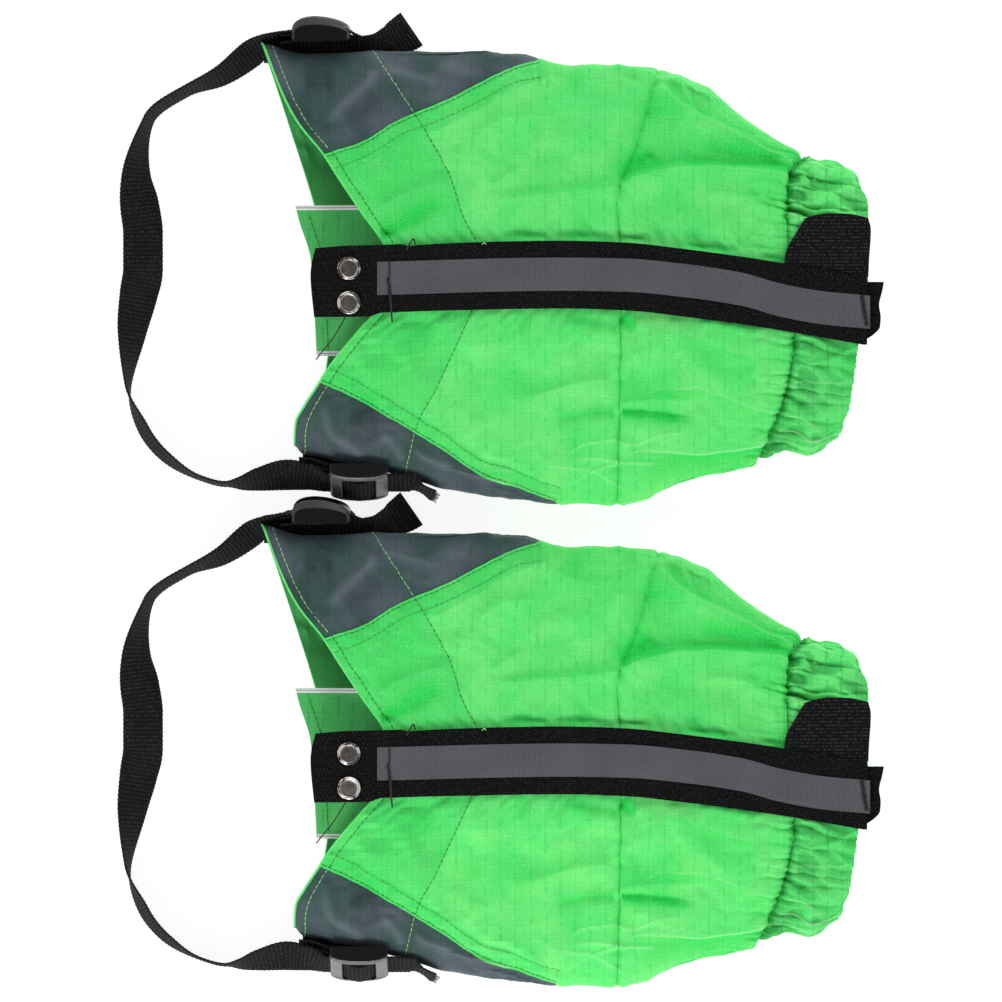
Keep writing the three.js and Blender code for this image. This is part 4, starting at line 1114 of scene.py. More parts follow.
MELTED_END = make_thread("webbing_melted_end", srgb(196, 194, 190), srgb(78, 76, 74), 0.5)


# ---- Placing pieces ----
def put(name, mesh, body, stands_for=()):
    """Places a mesh made in mm in both gaiters, in metres, and fixes it to a body."""
    for side in SIDES:
        copy = mesh.copy()
        copy.transform(Matrix.Translation(Vector((ORIGIN[side] / 1000).tolist())) @ Matrix.Scale(0.001, 4))
        piece = add_object(f"{side}_{name}", copy)
        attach(piece, f"{side}_{body}")
        if stands_for:
            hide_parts(*[f"{side}_{node}" for node in stands_for])


# ---- The sleeve's panels ----
CLOTH = 0.35  # thickness of one layer of fabric
UNDER = 0.5  # how far the gray panels lie below the green that is stitched over them
BESIDE_TAPE = 34.0  # the fabric is doubled beside the closure, up to this far from its line
SETTLE_ROUNDS = 60


def unit_grid(columns, rows, low=0.0):
    """Two grids of values: 0 to 1 along the columns, and low to 1 along the rows."""
    return np.meshgrid(np.linspace(0, 1, columns), np.linspace(low, 1, rows), indexing="ij")


def angle_per_mm(x, angle):
    """How far the angle turns in one mm round the sleeve."""
    step = 0.01
    return 2 * step / np.linalg.norm(shell_point(x, angle + step) - shell_point(x, angle - step), axis=-1)


def panel_places(columns, rows, start, end, low, high, low_over=0.0, high_over=0.0):
    """Stations and angles of a panel's grid; the seams' angles may depend on x, its ends on the angle."""
    u, v = unit_grid(columns, rows)
    x, angle = np.zeros_like(u), np.full_like(u, (low(0.0) + high(0.0)) / 2)
    for _ in range(SETTLE_ROUNDS):
        per_mm = angle_per_mm(x, angle)
        first, last = low(x) - low_over * per_mm, high(x) + high_over * per_mm
        angle = (angle + first + (last - first) * v) / 2
        x = (x + start(angle) + (end(angle) - start(angle)) * u) / 2
    return x, angle


def doubled(x, angle):
    """How much of the fabric here lies in two layers, 0 to 1."""
    upper = np.sin(angle) > 0
    y = shell_point(x, angle)[..., 1] - closure_line(x)
    facing = smoothstep(facing_end(angle) - x, -0.3, 0.3)
    band = smoothstep(BAND - seam_distance(x, angle), -0.3, 0.3) * (x < OUTER_POINT) * upper
    beside_tape = smoothstep(BESIDE_TAPE - np.abs(y), -0.3, 1) * upper * (y < 0)
    before_seam = x < middle_seam(-1.0)
    return np.clip(0.9 * facing + 0.62 * band + 0.5 * beside_tape * before_seam, 0, 1)


def fabric(name, x, angle, finish, lift=0.0, inset=0.0, layers=None):
    """A panel of fabric over a grid of places on the sleeve."""
    outer = surface(x, angle, lift, inset)
    inner = surface(x, angle, lift - CLOTH, inset)
    # the painted shade and the whitening of the folds go with it as the dark and pale values
    _, dark, pale = press(x, angle, shell_point(x, angle))
    coords = np.stack([x, arc_length(x, angle)], axis=-1)
    layers = doubled(x, angle) if layers is None else np.full_like(x, layers)
    return sheet(name, outer, inner, coords, {"layers": layers, "dark": dark, "pale": pale}, [finish])


def always(value):
    """A curve that is the same everywhere."""
    return lambda position: np.full_like(np.asarray(position, float), value)


def across_seam(curve):
    """An edge given against the cosine of the angle, as a curve of the angle."""
    return lambda angle: curve(np.cos(angle))


LAP = 0.03  # angle by which a front panel laps over the heel panel


def past_point(seam, x, point):
    """A front panel's seam, which laps over the heel panel past the side panel's point."""
    lapped = smoothstep(np.asarray(x, float), point - POINT_TRIM - 3.5, point - POINT_TRIM - 1)
    return seam - (seam + LAP) * lapped


FRONT = dict(columns=180, rows=140, start=hem, end=across_seam(middle_seam))
LEG = dict(columns=130, rows=300, start=across_seam(middle_seam), end=across_seam(cuff_seam))
PANELS = {
    "outer_front": dict(FRONT, low=lambda x: past_point(outer_seam(x), x, OUTER_POINT), high=always(CLOSURE)),
    "inner_front": dict(FRONT, low=always(CLOSURE),
                        high=lambda x: np.pi - past_point(inner_seam(x), x, INNER_POINT)),
    "heel": dict(FRONT, columns=100, rows=110, low=lambda x: np.pi + inner_seam(x),
                 high=lambda x: TURN - outer_seam(x)),
    "outer_leg": dict(LEG, low=always(-CLOSURE), high=always(CLOSURE)),
    "inner_leg": dict(LEG, low=always(CLOSURE), high=always(3 * CLOSURE)),
}
HEEL_SUNK = 0.25  # the heel panel lies this far below the front panels that lap over it
for panel, layout in PANELS.items():
    lift = -HEEL_SUNK if panel == "heel" else 0.0
    mesh = fabric(f"{panel}_fabric", *panel_places(**layout), GREEN, lift)
    put(f"{panel}_fabric", mesh, "shell", [f"{panel}_panel"])

SIDE_PANELS = {
    "outer_side": dict(low=lambda x: -outer_seam(x), high=outer_seam, end=always(OUTER_POINT - POINT_TRIM)),
    "inner_side": dict(low=lambda x: np.pi - inner_seam(x), high=lambda x: np.pi + inner_seam(x),
                       end=always(INNER_POINT - POINT_TRIM)),
}
for panel, layout in SIDE_PANELS.items():
    places = panel_places(columns=110, rows=100, start=hem, low_over=4.0, high_over=4.0, **layout)
    mesh = fabric(f"{panel}_fabric", *places, GRAY, lift=-UNDER, layers=0.0)
    put(f"{panel}_fabric", mesh, "shell", [f"{panel}_panel"])


def hem_facing_fabric():
    """The second layer inside the hem, all the way round."""
    places = panel_places(50, 300, lambda a: hem(a) + 0.6, lambda a: facing_end(a) + 2,
                          always(CLOSURE), always(CLOSURE + TURN))
    return fabric("hem_facing_fabric", *places, SHADED_GREEN, inset=2.4, layers=0.3)


put("hem_facing_fabric", hem_facing_fabric(), "shell", ["hem_facing"])


def folded_edge():
    """The hem's rounded fold: one cord all the way round the opening."""
    angle = np.linspace(CLOSURE, CLOSURE + TURN, 900)
    path = surface(hem(angle) + 0.2, angle, -CLOTH)
    return merged("hem_fold", [tube(path, 0.55, 8, (1, 0, 0))], [GREEN])


put("hem_fold", folded_edge(), "shell")


# ---- The gathered cuff ----
def cuff_fabric():
    """One strip, turned in over the elastic at the cuff's end."""
    outside_rows, inside_rows, inside_depth = 52, 30, 6.0
    stations = np.concatenate([np.linspace(0, 1, outside_rows), np.linspace(1, 0, inside_rows)])
    turned_in = np.arange(len(stations)) >= outside_rows
    u, angle = np.meshgrid(stations, np.linspace(CLOSURE, CLOSURE + TURN, 560), indexing="ij")
    inside = np.broadcast_to(turned_in[:, None], u.shape)
    across = np.cos(angle)
    begin = cuff_seam(across) + np.where(inside, 3.0, 0.0)
    bulge = 0.35 * gathers(arc_length(cuff_end(across), angle), GATHER_PITCH, 12.0)
    x = begin + (cuff_end(across) + bulge - begin) * u
    outer = surface(x, angle, 0.0, np.where(inside, inside_depth, 0.0))
    outer[..., 2] -= np.where(inside, 1.0, -1.0) * smoothstep(u, 0.93, 1) * 0.96 * np.sin(angle)
    normal = unit(np.cross(np.gradient(outer, axis=1), np.gradient(outer, axis=0)))
    facing_out = np.sign(np.sum(normal[20] * shell_normal(x[20], angle[20])))
    inner = outer - facing_out * CLOTH * normal
    # the painted shade and the whitening of its folds
    _, dark, pale = press(x, angle, shell_point(x, angle))
    coords = np.stack([x + np.where(inside, 40, 0), arc_length(x, angle)], axis=-1)
    # away from its outer upper quarter the cuff takes more of the doubled tint and a little more of the deep
    # fold colour
    bright = smoothstep(across, -0.2, 0.4) * (np.sin(angle) > 0)
    numbers = {"layers": 0.55 - 0.4 * bright, "pale": pale, "dark": np.clip(dark + 0.18 * (1 - bright), 0, 1)}
    return sheet("cuff_fabric", outer, inner, coords, numbers, [CUFF_GREEN])


put("cuff_fabric", cuff_fabric(), "shell", ["cuff_tunnel"])


def cuff_elastic_band():
    """Ribbed elastic inside the cuff, open by a sliver at the closure."""
    u, v = np.meshgrid(np.linspace(0, 1, 40), np.linspace(0.002, 0.998, 560), indexing="ij")
    angle = CLOSURE + TURN * v
    across = np.cos(angle)
    start, end = cuff_seam(across) + 4, cuff_end(across) - 4
    x = start + (end - start) * u
    ribs = 0.12 * np.cos(TURN * u * 14)
    outer, inner = surface(x, angle, ribs - 2.4), surface(x, angle, -ribs - 3.2)
    coords = np.stack([28 * u, arc_length(x, angle)], axis=-1)
    return sheet("cuff_elastic_band", outer, inner, coords, None, [ELASTIC])


put("cuff_elastic_band", cuff_elastic_band(), "shell", ["cuff_elastic"])

# ---- The underlap behind the front opening ----
UNDERLAP_LOW, UNDERLAP_HIGH, UNDERLAP_END = -46.0, 25.0, -22.0
underlap_start = through([(-49, -92), (-20, -93.5), (0, -95), (20, -101), (28, -103)])
underlap_sag = through([(-105, 6), (-90, 6), (-50, 0), (-20, 0)])


def underlap_place(u, y, drop=0.0):
    """A point of the tongue: u from its free edge to its sewn edge, at width y."""
    x = underlap_start(y) + (UNDERLAP_END - underlap_start(y)) * u
    top = shell_point(x, angle_across(x, y))[..., 2]
    drape = 0.7 * BROAD(x / 31 + 5, y / 24 + 2) + 0.25 * CRUMPLE(x / 11, y / 9)
    free = smoothstep(1 - u, 0.15, 0.6)
    z = top - 6.4 - underlap_sag(x) + drape * free - drop
    return np.stack([x, y, z], axis=-1)


def underlap_fabric():
    """The tongue, with painted shade where the closure covers it and along its hem's row of stitches, and its
    folded free edge whitened, partly as a painted highlight.
    """
    u, v = unit_grid(66, 66)
    y = UNDERLAP_LOW + (UNDERLAP_HIGH - UNDERLAP_LOW) * v
    outer, inner = underlap_place(u, y), underlap_place(u, y, CLOTH * 1.6)
    from_edge = outer[..., 0] - underlap_start(y)
    dark = 0.3 * bell(from_edge - 6, 0.9) + 0.25 * smoothstep(outer[..., 0], -66, -48)
    dark = dark + 0.25 * smoothstep(np.abs(y + 10), 24, 14) * smoothstep(outer[..., 0], -84, -74)
    pale = 0.3 * bell(from_edge, 0.7)
    numbers = {"layers": smoothstep(y, 0, 20) * 0.6, "dark": np.clip(dark, 0, 1), "pale": pale}
    return sheet("underlap_fabric", outer, inner, outer[..., :2], numbers, [UNDERLAP_SHADED_GREEN])


put("underlap_fabric", underlap_fabric(), "shell", ["front_underlap"])


def underlap_binding(edge, out):
    """A folded strip over one long edge of the tongue, 2.4 mm wide."""
    width = 2.4
    u, v = unit_grid(150, 9)
    y = edge + out * (width * v - 0.3)
    round_off = np.sqrt(np.clip(1 - (2 * v - 1) ** 2 * 0.8, 0, 1))
    swell = 0.45 * round_off + 0.05 * np.cos(TURN * u * 80)
    outer, inner = underlap_place(u, y, -swell), underlap_place(u, y, 0.6 + swell)
    coords = np.stack([outer[..., 0], width * (v - 0.5)], axis=-1)
    return sheet("underlap_binding", outer, inner, coords, None, [BINDING])


for side, edge, out in (("outer", UNDERLAP_HIGH, 1), ("inner", UNDERLAP_LOW, -1)):
    put(f"underlap_{side}_edge", underlap_binding(edge, out), "shell", [f"underlap_{side}_binding"])

# ---- The closure ----
TAPE_LIFT, TAPE_THICKNESS, FREE_END, TAPE_END = 2.2, 1.4, -60.0, 182.0
HOOK_START, HOOK_END = -50.0, 190.5
tape_corner = through([(-29, -92.8), (-8, -94.6), (-3, -94.2), (5, -92.3)])
tape_upper = through([(-93, 16.6), (-75, 17.7), (-50, 17.6), (-46, 16.4), (0, 16.6), (182, 16.8)])
tape_lower = through([(-93, 17.6), (-66, 17.8), (-59, 16.0), (-20, 17), (182, 16.8)])
reflective_line = through([
    (-60, -10), (30, -8), (62, -8.5), (90, -11), (120, -15.5), (138, -20.5), (160, -24.5), (184, -26.7)])


def tape_level(x):
    """Height of the closure tape's lower face."""
    return crest_height(np.maximum(x, FREE_END)) + TAPE_LIFT


def drape(x, v):
    """Slow unevenness of the closure, from side to side and along it."""
    return 0.35 * BROAD(x / 40, v * 1.3 + 4) * smoothstep(x, -56, -30)


def closure_tape_cloth():
    """The closure tape, with soft edges and a free end that is cut unevenly."""
    u, v = unit_grid(300, 44, -1)
    rough_y = closure_line(-90.0) + TAPE_HALF * v
    start = tape_corner(rough_y)
    x = start + (TAPE_END - start) * u
    fray = 0.12 * FINE(x * 0.9, v * 3) * (np.abs(v) > 0.97)
    half = np.where(v > 0, tape_upper(x), tape_lower(x)) + fray
    y = closure_line(x) + half * v
    edge = 1 - 0.5 * smoothstep(np.abs(v), 0.93, 1)
    weave = 0.09 * FINE(x * 0.8, y * 0.8)
    middle = tape_level(x) + TAPE_THICKNESS / 2 + drape(x, v)
    top = middle + TAPE_THICKNESS / 2 * edge + weave
    low = middle - TAPE_THICKNESS / 2 * edge
    outer, inner = np.stack([x, y, top], axis=-1), np.stack([x, y, low], axis=-1)
    return sheet("closure_tape_cloth", outer, inner, np.stack([x, y], axis=-1), None, [LOOP_TAPE])


put("closure_tape_cloth", closure_tape_cloth(), "closure", ["closure_tape"])


def flat_tape(name, start, end, width, bottom, thickness, line, finish, columns, rows):
    """A tape along line(x) from start to end(v), with its lower face at bottom(x)."""
    u, v = unit_grid(columns, rows, -1)
    x = start + (end(v) - start) * u
    y = line(x) + width / 2 * v
    edge = 1 - 0.55 * smoothstep(np.abs(v), 0.94, 1)
    middle = bottom(x) + thickness / 2
    outer = np.stack([x, y, middle + thickness / 2 * edge], axis=-1)
    inner = np.stack([x, y, middle - thickness / 2 * edge], axis=-1)
    return sheet(name, outer, inner, np.stack([x, width / 2 * v], axis=-1), None, [finish])


def reflective_bottom(x):
    """The closure tape's upper face below the reflective strip."""
    off_middle = (reflective_line(x) - closure_line(x)) / TAPE_HALF
    return tape_level(x) + TAPE_THICKNESS + 0.12 + drape(x, off_middle)


def hook_bottom(x):
    return crest_height(x) + 0.4


hook_tape_end = through([
    (-1, HOOK_END - 9.5), (-0.8, HOOK_END - 5), (-0.55, HOOK_END - 2), (-0.2, HOOK_END - 1.6),
    (0.2, HOOK_END - 2.4), (0.7, HOOK_END - 0.8), (1, HOOK_END)])
put("reflective_strip",
    flat_tape("reflective_strip", -61.5, always(183.4), 16.5, reflective_bottom, 0.4, reflective_line,
              REFLECTIVE, 260, 16),
    "closure", ["reflective_tape"])
put("hook_tape_strip",
    flat_tape("hook_tape_strip", HOOK_START, hook_tape_end, 29.0, hook_bottom, 0.8, closure_line,
              LOOP_TAPE, 240, 24),
    "shell", ["hook_tape"])


def hook_pile():
    """The hook tape's rows of tiny bent hooks."""
    random = np.random.default_rng(5)
    parts = []
    for x in np.arange(HOOK_START + 2, HOOK_END - 8, 2.4):
        for v in np.arange(-13, 13.1, 2.2):
            px, py = x + random.uniform(-0.3, 0.3), closure_line(x) + v + random.uniform(-0.3, 0.3)
            foot = crest_height(px) + 1.15
            lean = 1 if random.random() > 0.5 else -1
            path = [(px, py, foot), (px, py, foot + 0.45), (px + 0.25 * lean, py, foot + 0.7),
                    (px + 0.5 * lean, py, foot + 0.45)]
            parts.append(tube(path, 0.13, 4, (0, 1, 0)))
    return merged("hook_pile", parts, [BLACK_THREAD])


put("hook_pile", hook_pile(), "shell")


# ---- Rivets and lace hook ----
RIVET_X = -75.5
RIVETS = {"outer": (-5.0, 2.0), "inner": (-22.0, 7.0)}  # y, and how far it tips over, in degrees
TAPE_TOP = tape_level(FREE_END) + TAPE_THICKNESS


def turned_solid(profile, sides):
    """Points and faces of a profile of (radius, height) turned about its axis."""
    profile = np.maximum(np.array(profile, float), [[1e-3, -1e3]])
    turn = np.linspace(0, TURN, sides, endpoint=False)
    radius, height = profile[:, :1], profile[:, 1:]
    points = np.stack([radius * np.cos(turn), radius * np.sin(turn), height + 0 * turn], axis=-1)
    return points.reshape(-1, 3), ring_quads(len(profile), sides)


def rivet_parts(tip):
    """A dished cap with a raised rim, its shank, and the flared end below the hook plate."""
    rim = [(5.8, 0.1), (5.95, 0.45), (5.9, 0.9), (5.6, 1.35), (5.2, 1.55), (4.75, 1.5), (4.45, 1.2)]
    dish = [(4.45, 1.2), (4.2, 0.98), (3.4, 0.95), (2.2, 1.02), (1.2, 1.08), (0.0, 1.1)]
    below = [(0.0, -3.1), (2.6, -3.1), (3.9, -2.9), (4.2, -2.55), (3.9, -2.25), (2.4, -2.2), (2.3, 0.1),
             (5.8, 0.1)]
    tilt = np.array(Matrix.Rotation(math.radians(tip), 3, "X"))
    cap = [turned_solid(profile, 48) for profile in (rim, dish)]
    return [(points @ tilt.T, faces) for points, faces in cap] + [turned_solid(below, 48)]


def rivet(y, tip):
    """A rivet at width y of the closure tape, with a bright rim."""
    parts = rivet_parts(tip)
    points, faces = joined(parts)
    points = points + np.array([RIVET_X, y, TAPE_TOP])
    mesh = new_mesh("rivet", points, faces, points[:, :2], None, [GUNMETAL, RIM])
    on_rim = np.arange(len(faces)) < len(parts[0][1])
    mesh.polygons.foreach_set("material_index", on_rim.astype(np.int32))
    work = bmesh.new()
    work.from_mesh(mesh)
    bmesh.ops.remove_doubles(work, verts=work.verts, dist=0.02)
    bmesh.ops.recalc_face_normals(work, faces=work.faces)
    work.to_mesh(mesh)
    work.free()
    return mesh


for name, (y, tip) in RIVETS.items():
    put(f"{name}_rivet_cap", rivet(y, tip), "closure", [f"{name}_rivet"])


def mesh_of(work, name):
    """The mesh of a bmesh, with its faces turned outwards."""
    bmesh.ops.recalc_face_normals(work, faces=work.faces)
    mesh = bpy.data.meshes.new(name)
    work.to_mesh(mesh)
    work.free()
    return mesh


def modified(mesh, *modifiers):
    """A smooth mesh made from another by modifiers, each a kind and its settings."""
    holder = add_object(mesh.name, mesh)
    for kind, settings in modifiers:
        modifier = holder.modifiers.new(kind, kind)
        for key, value in settings.items():
            setattr(modifier, key, value)
    result = bpy.data.meshes.new_from_object(holder.evaluated_get(bpy.context.evaluated_depsgraph_get()))
    bpy.data.objects.remove(holder)
    result.polygons.foreach_set("use_smooth", np.ones(len(result.polygons), bool))
    return result


def extrude_outline(work, outline, depth, axes):
    """Adds a prism: a closed outline (n, 2), extruded by depth; axes maps (a, b, depth) to x, y, z."""
    near = [work.verts.new(axes(a, b, 0.0)) for a, b in outline]
    far = [work.verts.new(axes(a, b, depth)) for a, b in outline]
    work.faces.new(near[::-1])
    work.faces.new(far)
    for k in range(len(outline)):
        after = (k + 1) % len(outline)
        work.faces.new([near[k], near[after], far[after], far[k]])


def arc(centre, radius, start, end, count):
    """Points of a round stretch between two angles in degrees."""
    turn = np.radians(np.linspace(start, end, count))
    return [(centre[0] + radius * math.cos(t), centre[1] + radius * math.sin(t)) for t in turn]


def lace_hook_mesh():
    """A rounded plate under the tape, with a tongue that curls down and back to catch a lace."""
    top = TAPE_TOP - TAPE_THICKNESS - 0.35
    start, end, low, high, corner = -87.0, -64.0, -27.5, 0.5, 3.0
    thickness, bend, reach, width = 1.0, 2.6, 11.0, 12.0
    plate = []
    for cx, cy, turned in ((end - corner, high - corner, 0), (start + corner, high - corner, 90),
                           (start + corner, low + corner, 180), (end - corner, low + corner, 270)):
        plate += arc((cx, cy), corner, turned, turned + 90, 6)
    middle = (start, -bend - thickness)
    tongue = [(start + 4, -0.02)] + arc(middle, bend + thickness, 90, 270, 14)
    tongue += [(start + reach, -2 * (bend + thickness)),
               (start + reach + 1, -2 * bend - 1.6 * thickness),
               (start + reach, -2 * bend - thickness)]
    tongue += arc(middle, bend, 270, 90, 14) + [(start + 4, -thickness + 0.02)]
    begin = (low + high - width) / 2
    work = bmesh.new()
    extrude_outline(work, plate, -thickness, lambda a, b, d: (a, b, top + d))
    extrude_outline(work, tongue, width, lambda a, b, d: (a, begin + d, top + b))
    rounded = dict(width=0.3, segments=3, limit_method="ANGLE", angle_limit=BEVELLED_FROM)
    mesh = modified(mesh_of(work, "lace_hook"), ("BEVEL", rounded))
    add_finishes(mesh, [GUNMETAL])
    mesh.set_sharp_from_angle(angle=MOULDED_SHARP_ANGLE)
    return mesh


put("lace_hook_plate", lace_hook_mesh(), "closure", ["lace_hook"])


# ---- The cuff's pull tab ----
tab_left = through([(-3, 140.5), (3.5, 141.5), (12.5, 146.5), (19, 150.5)])
tab_right = through([(-10, 182.5), (0, 183), (14, 184), (20, 182)])
TAB_TOP = 20.3


def cuff_tab_knit():
    """Knit tape with its left and top edges rolled over."""
    u, v = unit_grid(70, 44)
    rough_x = tab_left(0.0) + (tab_right(0.0) - tab_left(0.0)) * u
    base = closure_line(rough_x) + TAPE_HALF - 0.2
    top = TAB_TOP + 1.5 - 7.5 * np.abs(u - 0.5) ** 2.6 * 2
    y = base + (top - base) * v
    x = tab_left(y) + (tab_right(y) - tab_left(y)) * u
    angle = angle_across(x, y)
    roll = 1.9 * np.maximum(bell(u, 0.055), bell(1 - v, 0.1)) + 0.9 * bell(1 - u, 0.03)
    wave = 0.35 * BROAD(x / 15, y / 11 + 8) + 0.12 * FINE(x / 1.7, y / 1.5)
    normal = shell_normal(x, angle)
    middle = shell_point(x, angle) + normal * (2.1 + wave)[..., None]
    thick = 0.6 + 0.45 * roll
    outer, inner = middle + normal * thick[..., None], middle - normal * np.minimum(thick, 0.6)[..., None]
    coords = np.stack([x, y], axis=-1)
    return sheet("cuff_tab_knit", outer, inner, coords, None, [KNIT])


put("cuff_tab_knit", cuff_tab_knit(), "tab", ["cuff_tab"])

# ---- Buckles, their anchor tabs and the instep strap ----
# A buckle's own axes run along the strap, across it, and away from the gaiter, from its lower middle.
WEBBING_WIDTH, WEBBING_THICKNESS, RIB_PITCH = 20.0, 1.2, 2.1
HALF_LENGTH, SHOULDER, CROWN, CHEEK, SLOT = 14.5, 4.0, 10.5, 3.0, 21.2
PLATE_START, PLATE_TOP = 8.2, 7.9
TEETH, TOOTH_PITCH = 9, 2.3
CENTRE_BAR_HEIGHT, CENTRE_BAR_RADIUS, STRAP_HEIGHT = 1.2, 1.0, 4.3
BUCKLES = {
    "outer": dict(x=-90.0, y=110.4, z=16.0, lean=5.0, side=1, reach=14.0, drop=0.0, rim=3.4, crown=11.5,
                  skew=0.1),
    "inner": dict(x=-71.0, y=-107.4, z=16.0, lean=25.0, side=-1, reach=24.0, drop=4.0, rim=1.0, crown=9.0,
                  skew=0.0),
}


def buckle_frame(buckle):
    """The buckle's own axes as rows (along the strap, across it, away from the gaiter), and its place."""
    tilt = math.radians(buckle["lean"])
    away = np.array([0.0, buckle["side"] * math.cos(tilt), math.sin(tilt)])
    along = np.array([1.0, 0.0, 0.0])
    return np.stack([along, np.cross(away, along), away]), np.array([buckle[k] for k in "xyz"])


def to_gaiter(points, buckle):
    axes, place = buckle_frame(buckle)
    return np.asarray(points, float) @ axes + place


def moulded(name, parts):
    """One smooth moulded body from overlapping closed parts."""
    work = bmesh.new()
    for points, faces in parts:
        verts = [work.verts.new(tuple(point)) for point in points]
        for face in faces:
            work.faces.new([verts[k] for k in face])
    return modified(mesh_of(work, name), ("REMESH", dict(mode="VOXEL", voxel_size=0.4)),
                    ("SMOOTH", dict(factor=0.5, iterations=4)))


def ring_sides(n, level=0):
    """Faces between an outline of n points and the next outline."""
    return [[k + level, k + n + level, (k + 1) % n + n + level, (k + 1) % n + level] for k in range(n)]


def prism(outline, low, high):
    """Points and faces of an outline in (along, away), extruded across from low to high."""
    n = len(outline)
    points = [(a, low, b) for a, b in outline] + [(a, high, b) for a, b in outline]
    return points, [list(range(n)), list(range(2 * n - 1, n - 1, -1))] + ring_sides(n)


def bar(outline):
    """A bar between the cheeks, of an outline in (along, away)."""
    half = SLOT / 2 + CHEEK - 0.8
    return prism(outline, -half, half)


def cheek(outline, inner, outer, rim):
    """A cheek whose outer face is smaller than its inner one, so that its crown slopes by rim."""
    foot = CENTRE_BAR_HEIGHT
    narrow, low = 1 - 0.3 * rim / HALF_LENGTH, 1 - rim / (CROWN - foot)
    small = [(narrow * a, foot + (b - foot) * low if b > foot else b) for a, b in outline]
    n, middle = len(outline), inner + (outer - inner) * 0.3
    rings = ((inner, outline), (middle, outline), (outer, small))
    points = [(a, place, b) for place, ring in rings for a, b in ring]
    faces = [list(range(n)), list(range(3 * n - 1, 2 * n - 1, -1))]
    return points, faces + ring_sides(n) + ring_sides(n, n)


def buckle_parts(buckle):
    """A ladder-lock: two arched cheeks, a round centre bar, and an end plate with teeth at each end."""
    rise = buckle["crown"] - SHOULDER
    arch = [(HALF_LENGTH * math.cos(t),
             SHOULDER + rise * math.sin(t) ** 0.75 * (1 - 2 * buckle["skew"] * math.cos(t)))
            for t in np.linspace(0, np.pi, 26)]
    outline = [(-HALF_LENGTH + 0.6, 0.0), (HALF_LENGTH - 0.6, 0.0), (HALF_LENGTH, 0.6)] + arch
    outline += [(-HALF_LENGTH, 0.6)]
    inside, outside = SLOT / 2, SLOT / 2 + CHEEK
    parts = [cheek(outline, way * inside, way * outside, buckle["rim"]) for way in (1, -1)]
    parts.append(bar([(CENTRE_BAR_RADIUS * math.cos(t), CENTRE_BAR_HEIGHT + CENTRE_BAR_RADIUS * math.sin(t))
                      for t in np.linspace(0, TURN, 20, endpoint=False)]))
    plate = [(HALF_LENGTH, 4.4), (HALF_LENGTH, 5.3), (13.2, 6.5), (PLATE_START + 0.6, PLATE_TOP),
             (PLATE_START, PLATE_TOP - 0.5), (PLATE_START, 5.6), (12.6, 5.2), (13.4, 4.4)]
    tooth = [(PLATE_START + 0.1, 6.4), (PLATE_START + 0.1, 5.1), (PLATE_START + 1.3, 5.0),
             (PLATE_START + 2.2, 5.9)]
    for way in (-1, 1):
        parts.append(bar([(way * a, b) for a, b in plate]))
        for k in range(TEETH):
            across = (k - (TEETH - 1) / 2) * TOOTH_PITCH
            parts.append(prism([(way * a, b) for a, b in tooth], across - 0.7, across + 0.7))
    return parts


def buckle_mesh(buckle):
    """The buckle in its place, in one plastic: plain on its edges, with painted shade on its cheeks' side
    faces and a painted highlight on its upper faces.
    """
    mesh = moulded("buckle", buckle_parts(buckle))
    corners = np.empty(len(mesh.vertices) * 3, np.float32)
    mesh.vertices.foreach_get("co", corners)
    mesh.vertices.foreach_set("co", to_gaiter(corners.reshape(-1, 3), buckle).astype(np.float32).ravel())
    add_finishes(mesh, (PLASTIC, PLASTIC_SHADED, PLASTIC_LIT))
    mesh.update()
    axes, _ = buckle_frame(buckle)
    # faces that face across the buckle get painted shade, faces that look up and away a painted highlight
    for face in mesh.polygons:
        along, across, away = axes @ np.array(face.normal)
        face.material_index = 1 if abs(across) > 0.97 else 2 if away > 0.72 and abs(along) < 0.72 else 0
    return mesh


def webbing(name, centre, across, width=WEBBING_WIDTH, thickness=WEBBING_THICKNESS, rows=22, trim=None):
    """A ribbed ribbon along centre (n, 3), whose width runs along across (n, 3).

    trim(v, end) shortens the ribbon at its first (0) and last (1) end, in mm, for v from -1 to 1.
    """
    v = np.linspace(-1, 1, rows)
    travelled = travel(centre)
    tangent = unit(np.gradient(centre, axis=0))
    face = unit(np.cross(tangent, across))
    phase = TURN * travelled / RIB_PITCH
    scallop = 1 + 0.012 * np.cos(phase)
    edge = np.where(np.abs(v) > 0.93, 0.62, 1.0)
    slide = np.zeros((len(centre), rows))
    if trim is not None:
        near_start = smoothstep(6 - travelled, 0, 6)[:, None]
        near_end = smoothstep(travelled - travelled[-1] + 6, 0, 6)[:, None]
        slide = near_start * trim(v, 0)[None, :] - near_end * trim(v, 1)[None, :]
    middle = centre[:, None] + across[:, None] * (v[None, :] * scallop[:, None] * width / 2)[..., None]
    middle = middle + tangent[:, None] * slide[..., None]
    twill = 0.35 * np.cos(TURN * v[None, :] * width / 2 / 1.6)
    rib = 1 + 0.16 * np.cos(phase[:, None] + twill)
    half = (thickness / 2 * edge[None, :] * rib)[..., None] * face[:, None]
    coords = np.stack(np.broadcast_arrays(travelled[:, None] + slide, width / 2 * v[None, :]), axis=-1)
    return sheet(name, middle + half, middle - half, coords, None, [WEBBING])


def webbing_on_buckle(name, path, buckle, width, thickness):
    """Webbing along a path in (along, away) of a buckle."""
    dense = resample(np.array([(a, 0.0, b) for a, b in path]), RIB_PITCH / 5)
    centre = to_gaiter(dense, buckle)
    across = np.broadcast_to(buckle_frame(buckle)[0][1], centre.shape)
    return webbing(name, centre, across, width, thickness)


